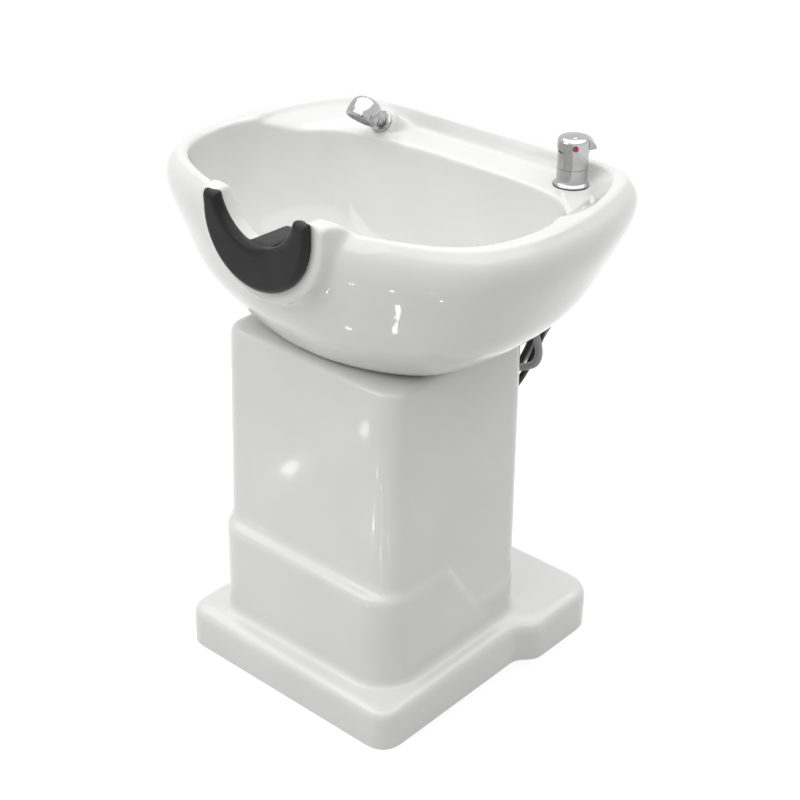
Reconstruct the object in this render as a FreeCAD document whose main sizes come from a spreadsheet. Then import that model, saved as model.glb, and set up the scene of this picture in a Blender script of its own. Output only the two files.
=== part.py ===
"""Salon backwash basin on a moulded pedestal, with mixer, hand shower and neck rest.

Millimetres, +Z up, the neck rest faces -Y. The origin is on the floor,
on the axis of the pedestal's column.
"""
import FreeCAD, Part
import math
import os

import Sketcher
from FreeCAD import Placement, Rotation, Vector

DIMENSIONS = {
    # foot, plinth and column of the moulded pedestal casing
    "casing_wall": 5.0,
    "foot_half_width": 222.0,
    "foot_front": 228.0,
    "foot_rear": 286.0,
    "foot_height": 70.0,
    "foot_corner_round": 34.0,
    "foot_edge_round": 14.0,
    "lobe_half_width": 247.0,
    "lobe_front": 96.0,
    "lobe_corner_round": 52.0,
    "lobe_neck_round": 24.0,
    "plinth_half_width": 190.0,
    "plinth_front": 191.0,
    "plinth_rear": 158.0,
    "plinth_height": 235.0,
    "ledge_height": 139.0,
    "plinth_slope_top": 46.0,
    "plinth_slope_foot": 18.0,
    "plinth_corner_round": 60.0,
    "plinth_edge_round": 7.0,
    "column_half_width": 178.0,
    "column_front": 168.0,
    "column_rear": 145.0,
    "column_draft": 10.0,
    "column_corner_round": 38.0,
    "column_edge_round": 9.0,
    "column_height": 577.0,
    # service opening in the back of the column and its cover
    "service_half_width": 88.0,
    "service_bottom": 160.0,
    "service_top": 478.0,
    "panel_top": 322.0,
    "panel_thickness": 3.0,
    "panel_overlap": 14.0,
    "panel_screw_inset": 7.0,
    "panel_screw_pitch_share": 0.38,
    "panel_screw_radius": 2.0,
    "panel_screw_head_radius": 4.5,
    "panel_screw_head_height": 2.4,
    "panel_screw_length": 14.0,
    # steel frame inside the casing
    "post_side": 30.0,
    "post_wall": 2.0,
    "post_half_spacing": 112.0,
    "post_front": 104.0,
    "post_rear": 84.0,
    "plate_thickness": 6.0,
    "top_plate_half_width": 146.0,
    "top_plate_front": 140.0,
    "top_plate_rear": 112.0,
    "top_plate_corner_round": 20.0,
    "foot_plate_half_width": 30.0,
    "foot_plate_half_length": 172.0,
    "anchor_hole_radius": 6.0,
    "anchor_half_spacing": 148.0,
    "bracket_height": 236.0,
    "bracket_thickness": 4.0,
    "bracket_depth": 30.0,
    # ceramic bowl
    "gasket_thickness": 2.0,
    "gasket_inset": 5.0,
    "gasket_width": 20.0,
    "bowl_half_width": 346.0,
    "bowl_front": 244.0,
    "bowl_rear": 258.0,
    "bowl_height": 828.0,
    "rim_round": 6.0,
    "rear_skirt_wall": 18.0,
    "bowl_floor": 612.0,
    "basin_half_width": 306.0,
    "basin_front": 219.0,
    "basin_rear": 162.0,
    "deck_height": 800.0,
    "deck_thickness": 13.0,
    "deck_half_width": 300.0,
    "deck_rear": 236.0,
    "deck_rear_slope": 7.0,
    "deck_side_slope": 36.0,
    "recess_front": 176.0,
    "recess_half_width": 238.0,
    "recess_foot": 590.0,
    # neck opening in the bowl's front lip and the rubber rest on it
    "neck_radius": 88.0,
    "neck_axis_rise": 32.0,
    "lip_radius": 119.0,
    "lip_axis_drop": 10.0,
    "lip_rise": 14.0,
    "lip_front": 250.0,
    "lip_root": 168.0,
    "lip_flare": 64.0,
    "lip_edge_round": 7.0,
    "rest_gap": 0.3,
    "rest_saddle_radius": 75.0,
    "rest_apron_radius": 100.0,
    "rest_apron_thickness": 14.0,
    "rest_rise": 15.0,
    "rest_inner_edge": 241.0,
    "rest_hook_depth": 10.0,
    "rest_hook_drop": 34.0,
    "rest_edge_round": 9.0,
    "rest_horn_round": 11.0,
    "rest_tongue_half_width": 21.0,
    "rest_tongue_end": 176.0,
    "rest_tongue_drop": 40.0,
    "rest_tongue_round": 6.0,
    # studs that hold the bowl down on the frame
    "stud_radius": 5.0,
    "stud_half_spacing": 84.0,
    "stud_front": 72.0,
    "stud_rear": 88.0,
    "stud_length": 60.0,
    "stud_socket_depth": 16.0,
    "stud_hole_radius": 6.5,
    "washer_radius": 11.0,
    "washer_thickness": 2.0,
    "nut_height": 8.0,
    "nut_corner_radius": 9.8,
    # waste fitting, bottle trap and pipe to the floor
    "waste_y": 22.0,
    "waste_flange_radius": 36.0,
    "waste_flange_height": 4.0,
    "waste_tube_radius": 24.0,
    "waste_bore_radius": 20.0,
    "waste_tube_length": 67.0,
    "waste_hole_radius": 26.0,
    "plate_waste_hole_radius": 46.0,
    "waste_gasket_height": 4.0,
    "waste_gasket_radius": 42.0,
    "locknut_height": 10.0,
    "locknut_radius": 40.0,
    "strainer_radius": 19.6,
    "strainer_height": 3.0,
    "strainer_knob_radius": 4.0,
    "strainer_knob_height": 7.0,
    "strainer_hole_radius": 2.2,
    "strainer_ring_radius": 12.0,
    "strainer_holes": 10.0,
    "tail_radius": 16.0,
    "tail_wall": 1.5,
    "tail_above_trap_foot": 17.0,
    "slip_nut_radius": 27.0,
    "slip_nut_height": 18.0,
    "trap_radius": 32.0,
    "trap_wall": 2.5,
    "tail_drop": 93.0,
    "trap_above_outlet": 26.0,
    "trap_below_outlet": 44.0,
    "trap_cup_depth": 42.0,
    "pipe_radius": 20.0,
    "pipe_wall": 1.8,
    "pipe_y": -64.0,
    "pipe_bend_radius": 34.0,
    "pipe_foot": 8.0,
    # single lever mixer on the right of the rear deck
    "mixer_x": 194.0,
    "mixer_y": 200.0,
    "lever_direction": 42.0,
    "mixer_gasket_height": 1.2,
    "mixer_gasket_radius": 27.6,
    "mixer_seat_gap": 0.4,
    "mixer_seat_depth": 10.0,
    "mixer_flange_radius": 27.0,
    "mixer_flange_height": 5.0,
    "mixer_body_radius": 23.0,
    "mixer_body_height": 46.0,
    "mixer_seam_height": 21.0,
    "mixer_seam_width": 0.8,
    "cartridge_radius": 17.0,
    "cartridge_seat": 12.0,
    "cartridge_height": 29.0,
    "cartridge_nut_height": 9.0,
    "cartridge_bore_radius": 9.0,
    "rotor_height": 3.0,
    "running_gap": 0.3,
    "stem_side": 6.0,
    "lever_radius": 24.4,
    "lever_wall": 3.6,
    "lever_height": 23.0,
    "lever_dome": 7.0,
    "lever_top_wall": 5.0,
    "lever_reach": 33.0,
    "lever_nose_height": 7.0,
    "lever_nose_half_width": 10.0,
    "lever_pivot_back": 14.0,
    "lever_lift_angle": 20.0,
    "mark_radius": 4.4,
    "mark_depth": 1.6,
    "mark_height": 10.0,
    "mark_proud": 0.5,
    "shank_radius": 16.5,
    "shank_hole_radius": 17.5,
    "shank_foot": 740.0,
    "shank_washer_radius": 23.0,
    "shank_washer_height": 3.0,
    "shank_nut_radius": 22.5,
    "shank_nut_height": 9.0,
    "tail_offset": 8.4,
    # hose guide on its ceramic boss at the left of the deck, and the hand shower
    "guide_x": -162.0,
    "guide_y": 178.0,
    "guide_z": 816.0,
    "guide_tilt": 52.0,
    "boss_radius": 24.0,
    "boss_length": 48.0,
    "boss_nut_seat": 14.0,
    "boss_counterbore_radius": 17.0,
    "boss_hole_radius": 10.6,
    "guide_flange_radius": 18.0,
    "guide_flange_height": 5.0,
    "guide_tube_radius": 10.0,
    "guide_tube_length": 36.0,
    "guide_bore_radius": 8.6,
    "bush_wall": 1.8,
    "bush_lip": 1.6,
    "bush_length": 14.0,
    "guide_nut_radius": 15.4,
    "guide_nut_height": 8.0,
    "shower_hose_radius": 6.0,
    "cone_length": 15.0,
    "cone_foot_radius": 10.5,
    "cone_top_radius": 8.6,
    "hose_end_length": 40.0,
    "head_radius": 26.5,
    "head_height": 38.0,
    "head_reach": 42.0,
    "head_drop": 19.0,
    "neck_stub_radius": 8.2,
    "face_radius": 22.5,
    "face_depth": 4.0,
    "face_nozzle_ring": 14.0,
    "face_nozzle_radius": 1.6,
    "face_nozzles": 12.0,
    # supply hoses and the inlet couplings at their feet
    "supply_hose_radius": 5.2,
    "coupling_half_spacing": 35.0,
    "coupling_radius": 10.4,
    "coupling_shank_radius": 11.4,
    "coupling_bore_radius": 6.0,
    "coupling_foot": 206.0,
    "coupling_top": 256.0,
    "coupling_collar_radius": 15.0,
    "coupling_collar_height": 5.0,
    "coupling_nut_radius": 15.5,
    "coupling_nut_height": 7.0,
    "hose_nut_radius": 15.2,
    "hose_nut_height": 18.0,
    "hose_nut_overlap": 8.0,
    "cut_overrun": 4.0,
}

# Half outline of the bowl seen from above, from the middle of the front to the
# middle of the back: shares of the half width, and of the depth before or
# behind the column axis.
RIM_SHARES = [(0.0, -1.0), (0.19, -0.99), (0.34, -0.955), (0.50, -0.90), (0.64, -0.83),
              (0.78, -0.73), (0.89, -0.60), (0.956, -0.43), (0.99, -0.23), (1.0, 0.0),
              (0.995, 0.18), (0.975, 0.38), (0.938, 0.58), (0.89, 0.77), (0.845, 0.89),
              (0.78, 0.965), (0.67, 0.995), (0.40, 1.0), (0.0, 1.0)]
# Half outline of the basin's mouth, which leaves room for the deck behind it.
BASIN_SHARES = [(0.0, -1.0), (0.19, -0.99), (0.34, -0.955), (0.50, -0.90), (0.64, -0.83),
                (0.78, -0.73), (0.885, -0.60), (0.95, -0.43), (0.98, -0.23), (0.985, -0.04),
                (0.955, 0.18), (0.90, 0.44), (0.83, 0.67), (0.74, 0.83), (0.60, 0.93),
                (0.40, 0.98), (0.20, 1.0), (0.0, 1.0)]
# Half outline of the sunk rear deck, which meets the basin's side walls.
DECK_SHARES = [(0.0, -0.45), (0.40, -0.42), (0.70, -0.32), (0.87, -0.12), (0.965, 0.10),
               (1.0, 0.30), (0.99, 0.48), (0.95, 0.66), (0.885, 0.84), (0.80, 0.955),
               (0.68, 0.995), (0.40, 1.0), (0.0, 1.0)]
# Top of the lip beside the neck opening: shares of its radius and of its rise.
SHOULDER_SHARES = [(0.60, 1.0), (0.80, 1.0), (1.0, 0.86), (1.2, 0.42), (1.42, 0.08),
                   (1.7, 0.0)]
# Flare of the lip from its front face to its root: shares of its depth and flare.
LIP_FLARE_SHARES = [(0.0, 0.0), (0.2, 0.04), (0.4, 0.17), (0.6, 0.40), (0.8, 0.69),
                    (1.0, 1.0)]
# Bowl outside: height share from its base to its rim, then shares of the rim's
# half width, front depth and rear depth.
BOWL_SECTION_SHARES = [(0.0, 0.475, 0.57, 0.505), (0.05, 0.60, 0.655, 0.62),
                       (0.14, 0.70, 0.73, 0.72), (0.26, 0.80, 0.82, 0.82),
                       (0.45, 0.89, 0.90, 0.91), (0.65, 0.955, 0.955, 0.965),
                       (0.86, 1.0, 1.0, 1.0), (0.94, 0.992, 0.99, 0.995),
                       (1.0, 0.955, 0.955, 0.975)]
# Basin inside: height share from its floor to the rim, then shares of the mouth.
BASIN_SECTION_SHARES = [(0.0, 0.25, 0.28, 0.42), (0.035, 0.50, 0.50, 0.58),
                        (0.10, 0.66, 0.68, 0.70), (0.22, 0.78, 0.80, 0.80),
                        (0.40, 0.88, 0.89, 0.89), (0.62, 0.95, 0.95, 0.955),
                        (0.85, 0.99, 0.987, 0.99), (1.0, 1.0, 1.0, 1.0)]

# Service recess below the deck: shares of its fall, of its half width and of its
# front edge's distance from the column axis.
RECESS_SHARES = [(0.0, 1.0, 1.0), (0.25, 0.97, 0.94), (0.5, 0.90, 0.88),
                 (0.75, 0.78, 0.84), (1.0, 0.64, 0.83)]
# Roll of the neck rest from its front face to its rear edge: shares of its depth and
# of its height over the opening.
ROLL_SHARES = [(0.0, 0.0), (0.03, 0.42), (0.13, 0.78), (0.30, 0.97), (0.46, 1.0),
               (0.62, 0.90), (0.80, 0.62), (1.0, 0.0)]
# Shower head from the middle of its back to its face: shares of its radius, of its
# depth, and of its radius for the arc that reaches the point (none for a straight).
HEAD_SHARES = [(0.68, 0.13, 1.35), (0.91, 0.34, 0.62), (1.0, 0.78, 1.9), (1.0, 0.93, 0.0),
               (0.95, 1.0, 0.0)]

# Cord routes, straight runs joined by arcs: points as they hang.
HOT_ROUTE = [(187.0, 195.0, 740.0), (187.0, 195.0, 704.0), (165.0, 203.0, 652.0),
             (153.0, 207.0, 600.0), (145.0, 207.0, 554.0), (133.0, 206.0, 516.0),
             (120.0, 202.0, 480.0), (103.0, 192.0, 446.0), (81.0, 170.0, 420.0),
             (59.0, 141.0, 394.0), (43.0, 112.0, 358.0), (36.0, 90.0, 322.0),
             (35.0, 84.0, 292.0), (35.0, 84.0, 266.0)]
COLD_ROUTE = [(201.0, 195.0, 740.0), (201.0, 195.0, 704.0), (180.0, 206.0, 652.0),
              (168.0, 209.0, 602.0), (160.0, 209.0, 558.0), (147.0, 208.0, 516.0),
              (133.0, 205.0, 475.0), (117.0, 196.0, 436.0), (94.0, 177.0, 405.0),
              (60.0, 151.0, 382.0), (24.0, 125.0, 366.0), (-8.0, 104.0, 345.0),
              (-28.0, 90.0, 320.0), (-35.0, 84.0, 292.0), (-35.0, 84.0, 266.0)]
SHOWER_ROUTE = [(194.0, 208.4, 740.0), (194.0, 208.4, 704.0), (180.0, 219.5, 655.0),
                (168.0, 228.0, 605.0), (152.0, 233.0, 553.0), (126.0, 235.0, 503.0),
                (95.0, 234.0, 456.0), (60.0, 231.0, 413.0), (25.0, 227.0, 378.0),
                (-13.0, 222.0, 353.0), (-55.0, 216.0, 344.0), (-91.0, 210.0, 360.0),
                (-104.0, 205.0, 396.0), (-91.0, 202.0, 430.0), (-57.0, 199.0, 447.0),
                (-15.0, 197.0, 453.0), (31.0, 194.0, 456.0), (75.0, 190.0, 461.0),
                (113.0, 186.0, 471.0), (143.0, 184.0, 485.0), (163.0, 185.0, 497.0),
                (166.0, 187.5, 518.0), (155.0, 190.5, 542.0), (143.0, 194.0, 567.0),
                (126.0, 198.0, 595.0), (99.0, 206.0, 628.0), (62.0, 216.0, 657.0),
                (18.0, 220.0, 680.0), (-30.0, 222.0, 697.0), (-78.0, 226.0, 712.0),
                (-118.0, 228.0, 730.0), (-144.0, 228.0, 748.0), (-159.0, 227.0, 767.0)]

document = FreeCAD.newDocument("BackwashBasin")
sheet = document.addObject("Spreadsheet::Sheet", "Sizes")


class Size:
    """A length or count together with the sheet formula that gives it."""

    def __init__(self, value, formula):
        self.value = float(value)
        self.formula = formula

    def _join(self, other, sign, swap=False):
        number = other.value if isinstance(other, Size) else float(other)
        formula = other.formula if isinstance(other, Size) else repr(float(other))
        first, second = (self.value, number) if not swap else (number, self.value)
        left, right = (self.formula, formula) if not swap else (formula, self.formula)
        results = {"+": first + second, "-": first - second,
                   "*": first * second, "/": first / second if second else 0.0}
        return Size(results[sign], "({} {} {})".format(left, sign, right))

    def __add__(self, other):
        return self._join(other, "+")

    def __radd__(self, other):
        return self._join(other, "+", swap=True)

    def __sub__(self, other):
        return self._join(other, "-")

    def __rsub__(self, other):
        return self._join(other, "-", swap=True)

    def __mul__(self, other):
        return self._join(other, "*")

    def __rmul__(self, other):
        return self._join(other, "*", swap=True)

    def __truediv__(self, other):
        return self._join(other, "/")

    def __neg__(self):
        return Size(-self.value, "(0 - {})".format(self.formula))

    def __float__(self):
        return self.value


class Sizes:
    """Every driving dimension as an attribute."""


ZERO = Size(0.0, "0")


def fill_sheet():
    """Write the driving dimensions to the sheet and return them as attributes."""
    sizes = Sizes()
    for row, (alias, number) in enumerate(DIMENSIONS.items(), start=1):
        sheet.set("A{}".format(row), alias)
        sheet.set("B{}".format(row), repr(number))
        sheet.setAlias("B{}".format(row), alias)
        setattr(sizes, alias, Size(number, "Sizes.{}".format(alias)))
    document.recompute()
    return sizes


def add_derived(sizes):
    """Add the heights that follow from another height and a distance."""
    sizes.neck_axis_height = sizes.bowl_height + sizes.neck_axis_rise
    sizes.lip_axis_height = sizes.bowl_height - sizes.lip_axis_drop
    sizes.rest_top = sizes.bowl_height + sizes.rest_rise
    sizes.waste_tube_foot = sizes.bowl_floor - sizes.waste_tube_length
    sizes.trap_outlet_height = sizes.waste_tube_foot - sizes.tail_drop
    sizes.trap_top = sizes.trap_outlet_height + sizes.trap_above_outlet
    sizes.trap_foot = sizes.trap_outlet_height - sizes.trap_below_outlet
    sizes.trap_cup_foot = sizes.trap_foot - sizes.trap_cup_depth
    sizes.tail_foot = sizes.trap_foot + sizes.tail_above_trap_foot
    return sizes


S = add_derived(fill_sheet())


def as_size(length):
    """A plain zero as a Size, so that both can be bound."""
    return length if isinstance(length, Size) else ZERO


def bind(item, prop, length):
    """Tie one property to the sheet."""
    item.setExpression(prop, as_size(length).formula)


def place(item, x=ZERO, y=ZERO, z=ZERO, rotation=None):
    """Put an object at a point of the model, turned as given."""
    x, y, z = as_size(x), as_size(y), as_size(z)
    turned = rotation if rotation is not None else Rotation()
    item.Placement = Placement(Vector(x.value, y.value, z.value), turned)
    bind(item, "Placement.Base.x", x)
    bind(item, "Placement.Base.y", y)
    bind(item, "Placement.Base.z", z)
    return item


def named(item, label):
    """Mark an object as a sub-part of the basin."""
    item.Label = label
    PIECES.append(item)
    return item


PIECES = []


def cylinder(name, radius, height, **where):
    """Upright cylinder."""
    rod = document.addObject("Part::Cylinder", name)
    bind(rod, "Radius", radius)
    bind(rod, "Height", height)
    return place(rod, **where)


def block(name, length, width, height, **where):
    """Box from its lowest corner."""
    box = document.addObject("Part::Box", name)
    bind(box, "Length", length)
    bind(box, "Width", width)
    bind(box, "Height", height)
    return place(box, **where)


def hexagon(name, radius, height, **where):
    """Upright six sided prism, radius to its corners."""
    prism = document.addObject("Part::Prism", name)
    prism.Polygon = 6
    bind(prism, "Circumradius", radius)
    bind(prism, "Height", height)
    return place(prism, **where)


def cut(name, solid, *tools):
    """A solid less one or more tools."""
    tool = tools[0]
    if len(tools) > 1:
        tool = document.addObject("Part::MultiFuse", name + "_tools")
        tool.Shapes = list(tools)
    result = document.addObject("Part::Cut", name)
    result.Base = solid
    result.Tool = tool
    return result


def fuse(name, *solids):
    """Solids joined to one."""
    result = document.addObject("Part::MultiFuse", name)
    result.Shapes = list(solids)
    result.Refine = True
    return result


def group(name, *solids):
    """Identical solids kept apart in one sub-part."""
    result = document.addObject("Part::Compound", name)
    result.Links = list(solids)
    return result


def origin_plane(body, role):
    """One of a body's own origin planes."""
    return [item for item in body.Origin.OriginFeatures if item.Role == role][0]


def profile_sketch(body, points):
    """Closed outline on a body's XZ plane, each corner bound to the sheet.

    A point is (x, z) for a straight side, or (x, z, radius, turn) for an arc
    that reaches it from the point before; turn is 1 or -1.
    """
    sketch = body.newObject("Sketcher::SketchObject", body.Name + "_profile")
    sketch.AttachmentSupport = [(origin_plane(body, "XZ_Plane"), "")]
    sketch.MapMode = "FlatFace"
    corners = [(as_size(point[0]), as_size(point[1])) for point in points]
    count = len(points)
    for index in range(count):
        target = points[(index + 1) % count]
        start = Vector(corners[index][0].value, corners[index][1].value, 0)
        end_x, end_z = corners[(index + 1) % count]
        end = Vector(end_x.value, end_z.value, 0)
        if len(target) == 2:
            sketch.addGeometry(Part.LineSegment(start, end), False)
            continue
        chord = end - start
        reach = math.sqrt(target[2].value ** 2 - (chord.Length / 2) ** 2)
        side = Vector(-chord.y, chord.x, 0).normalize() * (reach * target[3])
        centre = (start + end) / 2 + side
        middle = centre - side.normalize() * target[2].value
        sketch.addGeometry(Part.Arc(start, middle, end), False)
    for index in range(count):
        follower = (index + 1) % count
        target = points[follower]
        here_end, next_start = end_vertices(sketch, index, follower, corners[follower])
        sketch.addConstraint(Sketcher.Constraint("Coincident", index, here_end,
                                                 follower, next_start))
        for kind, length, axis in (("DistanceX", corners[follower][0], -2),
                                   ("DistanceY", corners[follower][1], -1)):
            if length.formula == "0":
                sketch.addConstraint(Sketcher.Constraint("PointOnObject", follower,
                                                         next_start, axis))
                continue
            number = sketch.addConstraint(Sketcher.Constraint(
                kind, -1, 1, follower, next_start, length.value))
            sketch.setExpression("Constraints[{}]".format(number), length.formula)
        if len(target) == 4:
            number = sketch.addConstraint(Sketcher.Constraint("Radius", index,
                                                              target[2].value))
            sketch.setExpression("Constraints[{}]".format(number), target[2].formula)
    return sketch


def end_vertices(sketch, index, follower, corner):
    """Which ends of two sides meet at a corner: 1 is a side's start, 2 its end."""
    spot = Vector(corner[0].value, corner[1].value, 0)
    found = []
    for side in (index, follower):
        start = sketch.getPoint(side, 1)
        found.append(1 if start.distanceToPoint(spot) < 1e-4 else 2)
    return found


def turned(name, points, **where):
    """Body of revolution about its own upright axis."""
    body = document.addObject("PartDesign::Body", name)
    sketch = profile_sketch(body, points)
    turn = body.newObject("PartDesign::Revolution", name + "_turn")
    turn.Profile = sketch
    turn.ReferenceAxis = (sketch, ["V_Axis"])
    turn.Angle = 360.0
    sketch.Visibility = False
    body.Tip = turn
    return place(body, **where)


def dome_radius(radius, height):
    """Radius of the ball whose cap has the given foot radius and height."""
    return (radius * radius + height * height) / (height * 2.0)


def ring(name, outer, inner, height, **where):
    """Flat ring."""
    return turned(name, [(inner, 0), (outer, 0), (outer, height), (inner, height)], **where)


def feature(name, shape, placement=None):
    """A shape worked out by this file, kept as an object of the document."""
    item = document.addObject("Part::Feature", name)
    item.Shape = shape
    item.Placement = placement if placement is not None else Placement()
    return item


def rounded_outline(left, right, front, rear, radius, height):
    """Closed rectangle with rounded corners at one height."""
    spots = [Vector(left, front, height), Vector(right, front, height),
             Vector(right, rear, height), Vector(left, rear, height)]
    return rounded_polygon(spots, [radius] * 4)


def rounded_polygon(spots, radii):
    """Closed polygon with a tangent arc of its own radius at each corner."""
    edges = []
    joins = []
    count = len(spots)
    for index, spot in enumerate(spots):
        back = (spots[index - 1] - spot).normalize()
        ahead = (spots[(index + 1) % count] - spot).normalize()
        half = back.getAngle(ahead) / 2
        reach = radii[index] / math.tan(half)
        bisector = (back + ahead).normalize()
        middle = spot + bisector * (radii[index] / math.sin(half) - radii[index])
        joins.append((spot + back * reach, middle, spot + ahead * reach))
    for index, (first, middle, last) in enumerate(joins):
        following = joins[(index + 1) % count][0]
        edges.append(Part.Arc(first, middle, last).toShape())
        if last.distanceToPoint(following) > 1e-6:
            edges.append(Part.LineSegment(last, following).toShape())
    return Part.Wire(edges)


def mirrored_curve(shares, half_width, front, rear, height):
    """Smooth closed outline from a table of shares for its right half."""
    right = [Vector(x * half_width, y * (front if y < 0 else rear), height)
             for x, y in shares]
    left = [Vector(-spot.x, spot.y, height) for spot in reversed(right[1:-1])]
    curve = Part.BSplineCurve()
    curve.interpolate(Points=right + left, PeriodicFlag=True)
    return Part.Wire([curve.toShape()])


def edges_at_height(shape, height):
    """Edges that lie wholly at one height."""
    return [edge for edge in shape.Edges
            if abs(edge.BoundBox.ZMin - height) < 0.01
            and abs(edge.BoundBox.ZMax - height) < 0.01]


# Pedestal casing


def foot_solid(inset, top):
    """Foot with a straight front part and a wider, rounded lobe on each side behind."""
    side = S.foot_half_width.value - inset
    lobe = S.lobe_half_width.value - inset
    front = inset - S.foot_front.value
    rear = S.foot_rear.value - inset
    shoulder = S.lobe_front.value + inset
    slant = S.lobe_half_width.value - S.foot_half_width.value
    corners = [(-side, front), (side, front), (side, shoulder), (lobe, shoulder + slant),
               (lobe, rear), (-lobe, rear), (-lobe, shoulder + slant), (-side, shoulder)]
    corner = S.foot_corner_round.value - inset
    lobe_corner = S.lobe_corner_round.value - inset
    neck = S.lobe_neck_round.value
    radii = [corner, corner, neck, neck, lobe_corner, lobe_corner, neck, neck]
    outline = rounded_polygon([Vector(x, y, 0) for x, y in corners], radii)
    return Part.Face(outline).extrude(Vector(0, 0, top))


def plinth_solid(inset):
    """Step round the column's foot: tall in front, sloping to a low ledge behind."""
    half_width = S.plinth_half_width.value - inset
    front = inset - S.plinth_front.value
    rear = S.plinth_rear.value - inset
    radius = S.plinth_corner_round.value - inset
    high = S.plinth_height.value - inset
    low = S.ledge_height.value - inset
    outline = rounded_outline(-half_width, half_width, front, rear, radius, 0)
    tower = Part.Face(outline).extrude(Vector(0, 0, high))
    slope_top = -S.plinth_slope_top.value - inset
    slope_foot = S.plinth_slope_foot.value - inset
    run = S.foot_rear.value
    profile = Part.makePolygon([Vector(-half_width, slope_top, high),
                                Vector(-half_width, slope_foot, low),
                                Vector(-half_width, run, low),
                                Vector(-half_width, run, run + high),
                                Vector(-half_width, slope_top, run + high),
                                Vector(-half_width, slope_top, high)])
    away = Part.Face(profile).extrude(Vector(2 * half_width, 0, 0))
    step = tower.cut(away)
    if inset:
        return step
    rims = edges_at_height(step, high) + edges_at_height(step, low)
    return step.makeFillet(S.plinth_edge_round.value, rims)


def wedge(spots, run):
    """Three cornered bar along a run, to take a slant off a block."""
    return Part.Face(Part.makePolygon(spots + spots[:1])).extrude(run)


def column_solid(inset, top):
    """Tapered column with rounded corners and a rounded top edge."""
    draft = S.column_draft.value
    half_width = S.column_half_width.value - inset
    front = S.column_front.value - inset
    rear = S.column_rear.value - inset
    wide = half_width + draft
    near = -front - draft / 2
    column = Part.makeBox(2 * wide, rear - near, top, Vector(-wide, near, 0))
    along = Vector(0, rear - near, 0)
    across = Vector(2 * wide, 0, 0)
    column = column.cut([
        wedge([Vector(wide, near, 0), Vector(half_width, near, top), Vector(wide, near, top)],
              along),
        wedge([Vector(-wide, near, 0), Vector(-half_width, near, top),
               Vector(-wide, near, top)], along),
        wedge([Vector(-wide, near, 0), Vector(-wide, -front, top),
               Vector(-wide, near, top)], across)])
    uprights = [edge for edge in column.Edges if edge.BoundBox.ZLength > top / 2]
    column = column.makeFillet(S.column_corner_round.value - inset, uprights)
    if inset:
        return column
    return column.makeFillet(S.column_edge_round.value, edges_at_height(column, top))


def stud_places():
    """The four places, as x and y, where studs hold the bowl down."""
    return [(S.stud_half_spacing * side, y) for side in (-1.0, 1.0)
            for y in (-S.stud_front, S.stud_rear)]


def make_casing():
    """Hollow moulding, open below and at the service opening behind."""
    wall = S.casing_wall.value
    overrun = S.cut_overrun.value
    foot = foot_solid(0, S.foot_height.value)
    foot = foot.makeFillet(S.foot_edge_round.value,
                           edges_at_height(foot, S.foot_height.value))
    outer = foot.fuse([plinth_solid(0), column_solid(0, S.column_height.value)])
    inner_foot = foot_solid(wall, S.foot_height.value - wall)
    inner = inner_foot.fuse([plinth_solid(wall),
                             column_solid(wall, S.column_height.value - wall)])
    shell = outer.cut(inner)
    tall = S.service_top.value - S.service_bottom.value
    wide = 2 * S.service_half_width.value
    opening = Part.makeBox(wide, 3 * wall, tall,
                           Vector(-wide / 2, S.column_rear.value - 2 * wall,
                                  S.service_bottom.value))
    uprights = [edge for edge in opening.Edges
                if edge.BoundBox.YLength > 2 * wall and edge.BoundBox.XLength < wall]
    opening = opening.makeFillet(2 * wall, uprights)
    under_top = S.column_height.value - 2 * wall
    drain = Part.makeCylinder(S.plate_waste_hole_radius.value, 2 * wall + overrun,
                              Vector(0, S.waste_y.value, under_top))
    holes = [opening, drain]
    for x, y in stud_places():
        holes.append(Part.makeCylinder(S.stud_hole_radius.value, 2 * wall + overrun,
                                       Vector(x.value, y.value, under_top)))
    for x, z in panel_screw_places():
        start = Vector(x.value, S.column_rear.value - 2 * wall, z.value)
        hole = Part.makeCylinder(S.panel_screw_radius.value, 3 * wall, start,
                                 Vector(0, 1, 0))
        hole.rotate(start, Vector(0, 1, 0), 45)
        holes.append(hole)
    return named(feature("Casing", shell.cut(holes)), "pedestal_casing")


# Service cover


def panel_screw_places():
    """The four places, as x and z, of the cover's screws."""
    half = S.service_half_width + S.panel_screw_inset
    middle = (S.service_bottom + S.panel_top) / 2.0
    pitch = (S.panel_top - S.service_bottom) * S.panel_screw_pitch_share
    return [(half * side, middle + pitch * level) for side in (-1.0, 1.0)
            for level in (-1.0, 1.0)]


def make_panel():
    """Flat cover over the lower part of the service opening."""
    half = S.service_half_width + S.panel_overlap
    bottom = S.service_bottom - S.panel_overlap
    plate = block("PanelPlate", half * 2.0, S.panel_thickness, S.panel_top - bottom,
                  x=-half, y=S.column_rear, z=bottom)
    backward = Rotation(Vector(1, 0, 0), -90)
    holes = []
    screws = []
    for number, (x, z) in enumerate(panel_screw_places()):
        holes.append(cylinder("PanelHole{}".format(number), S.panel_screw_radius,
                              S.panel_thickness * 2.0, x=x,
                              y=S.column_rear - S.panel_thickness / 2.0, z=z,
                              rotation=backward))
        screws.append(turned("PanelScrew{}".format(number),
                             [(0, 0), (S.panel_screw_radius, 0),
                              (S.panel_screw_radius, S.panel_screw_length),
                              (S.panel_screw_head_radius, S.panel_screw_length),
                              (0, S.panel_screw_length + S.panel_screw_head_height,
                               dome_radius(S.panel_screw_head_radius,
                                           S.panel_screw_head_height), 1)],
                             x=x, y=S.column_rear + S.panel_thickness - S.panel_screw_length,
                             z=z, rotation=backward))
    named(cut("Panel", plate, *holes), "access_panel")
    named(group("PanelScrews", *screws), "panel_screws")


# Steel frame


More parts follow.
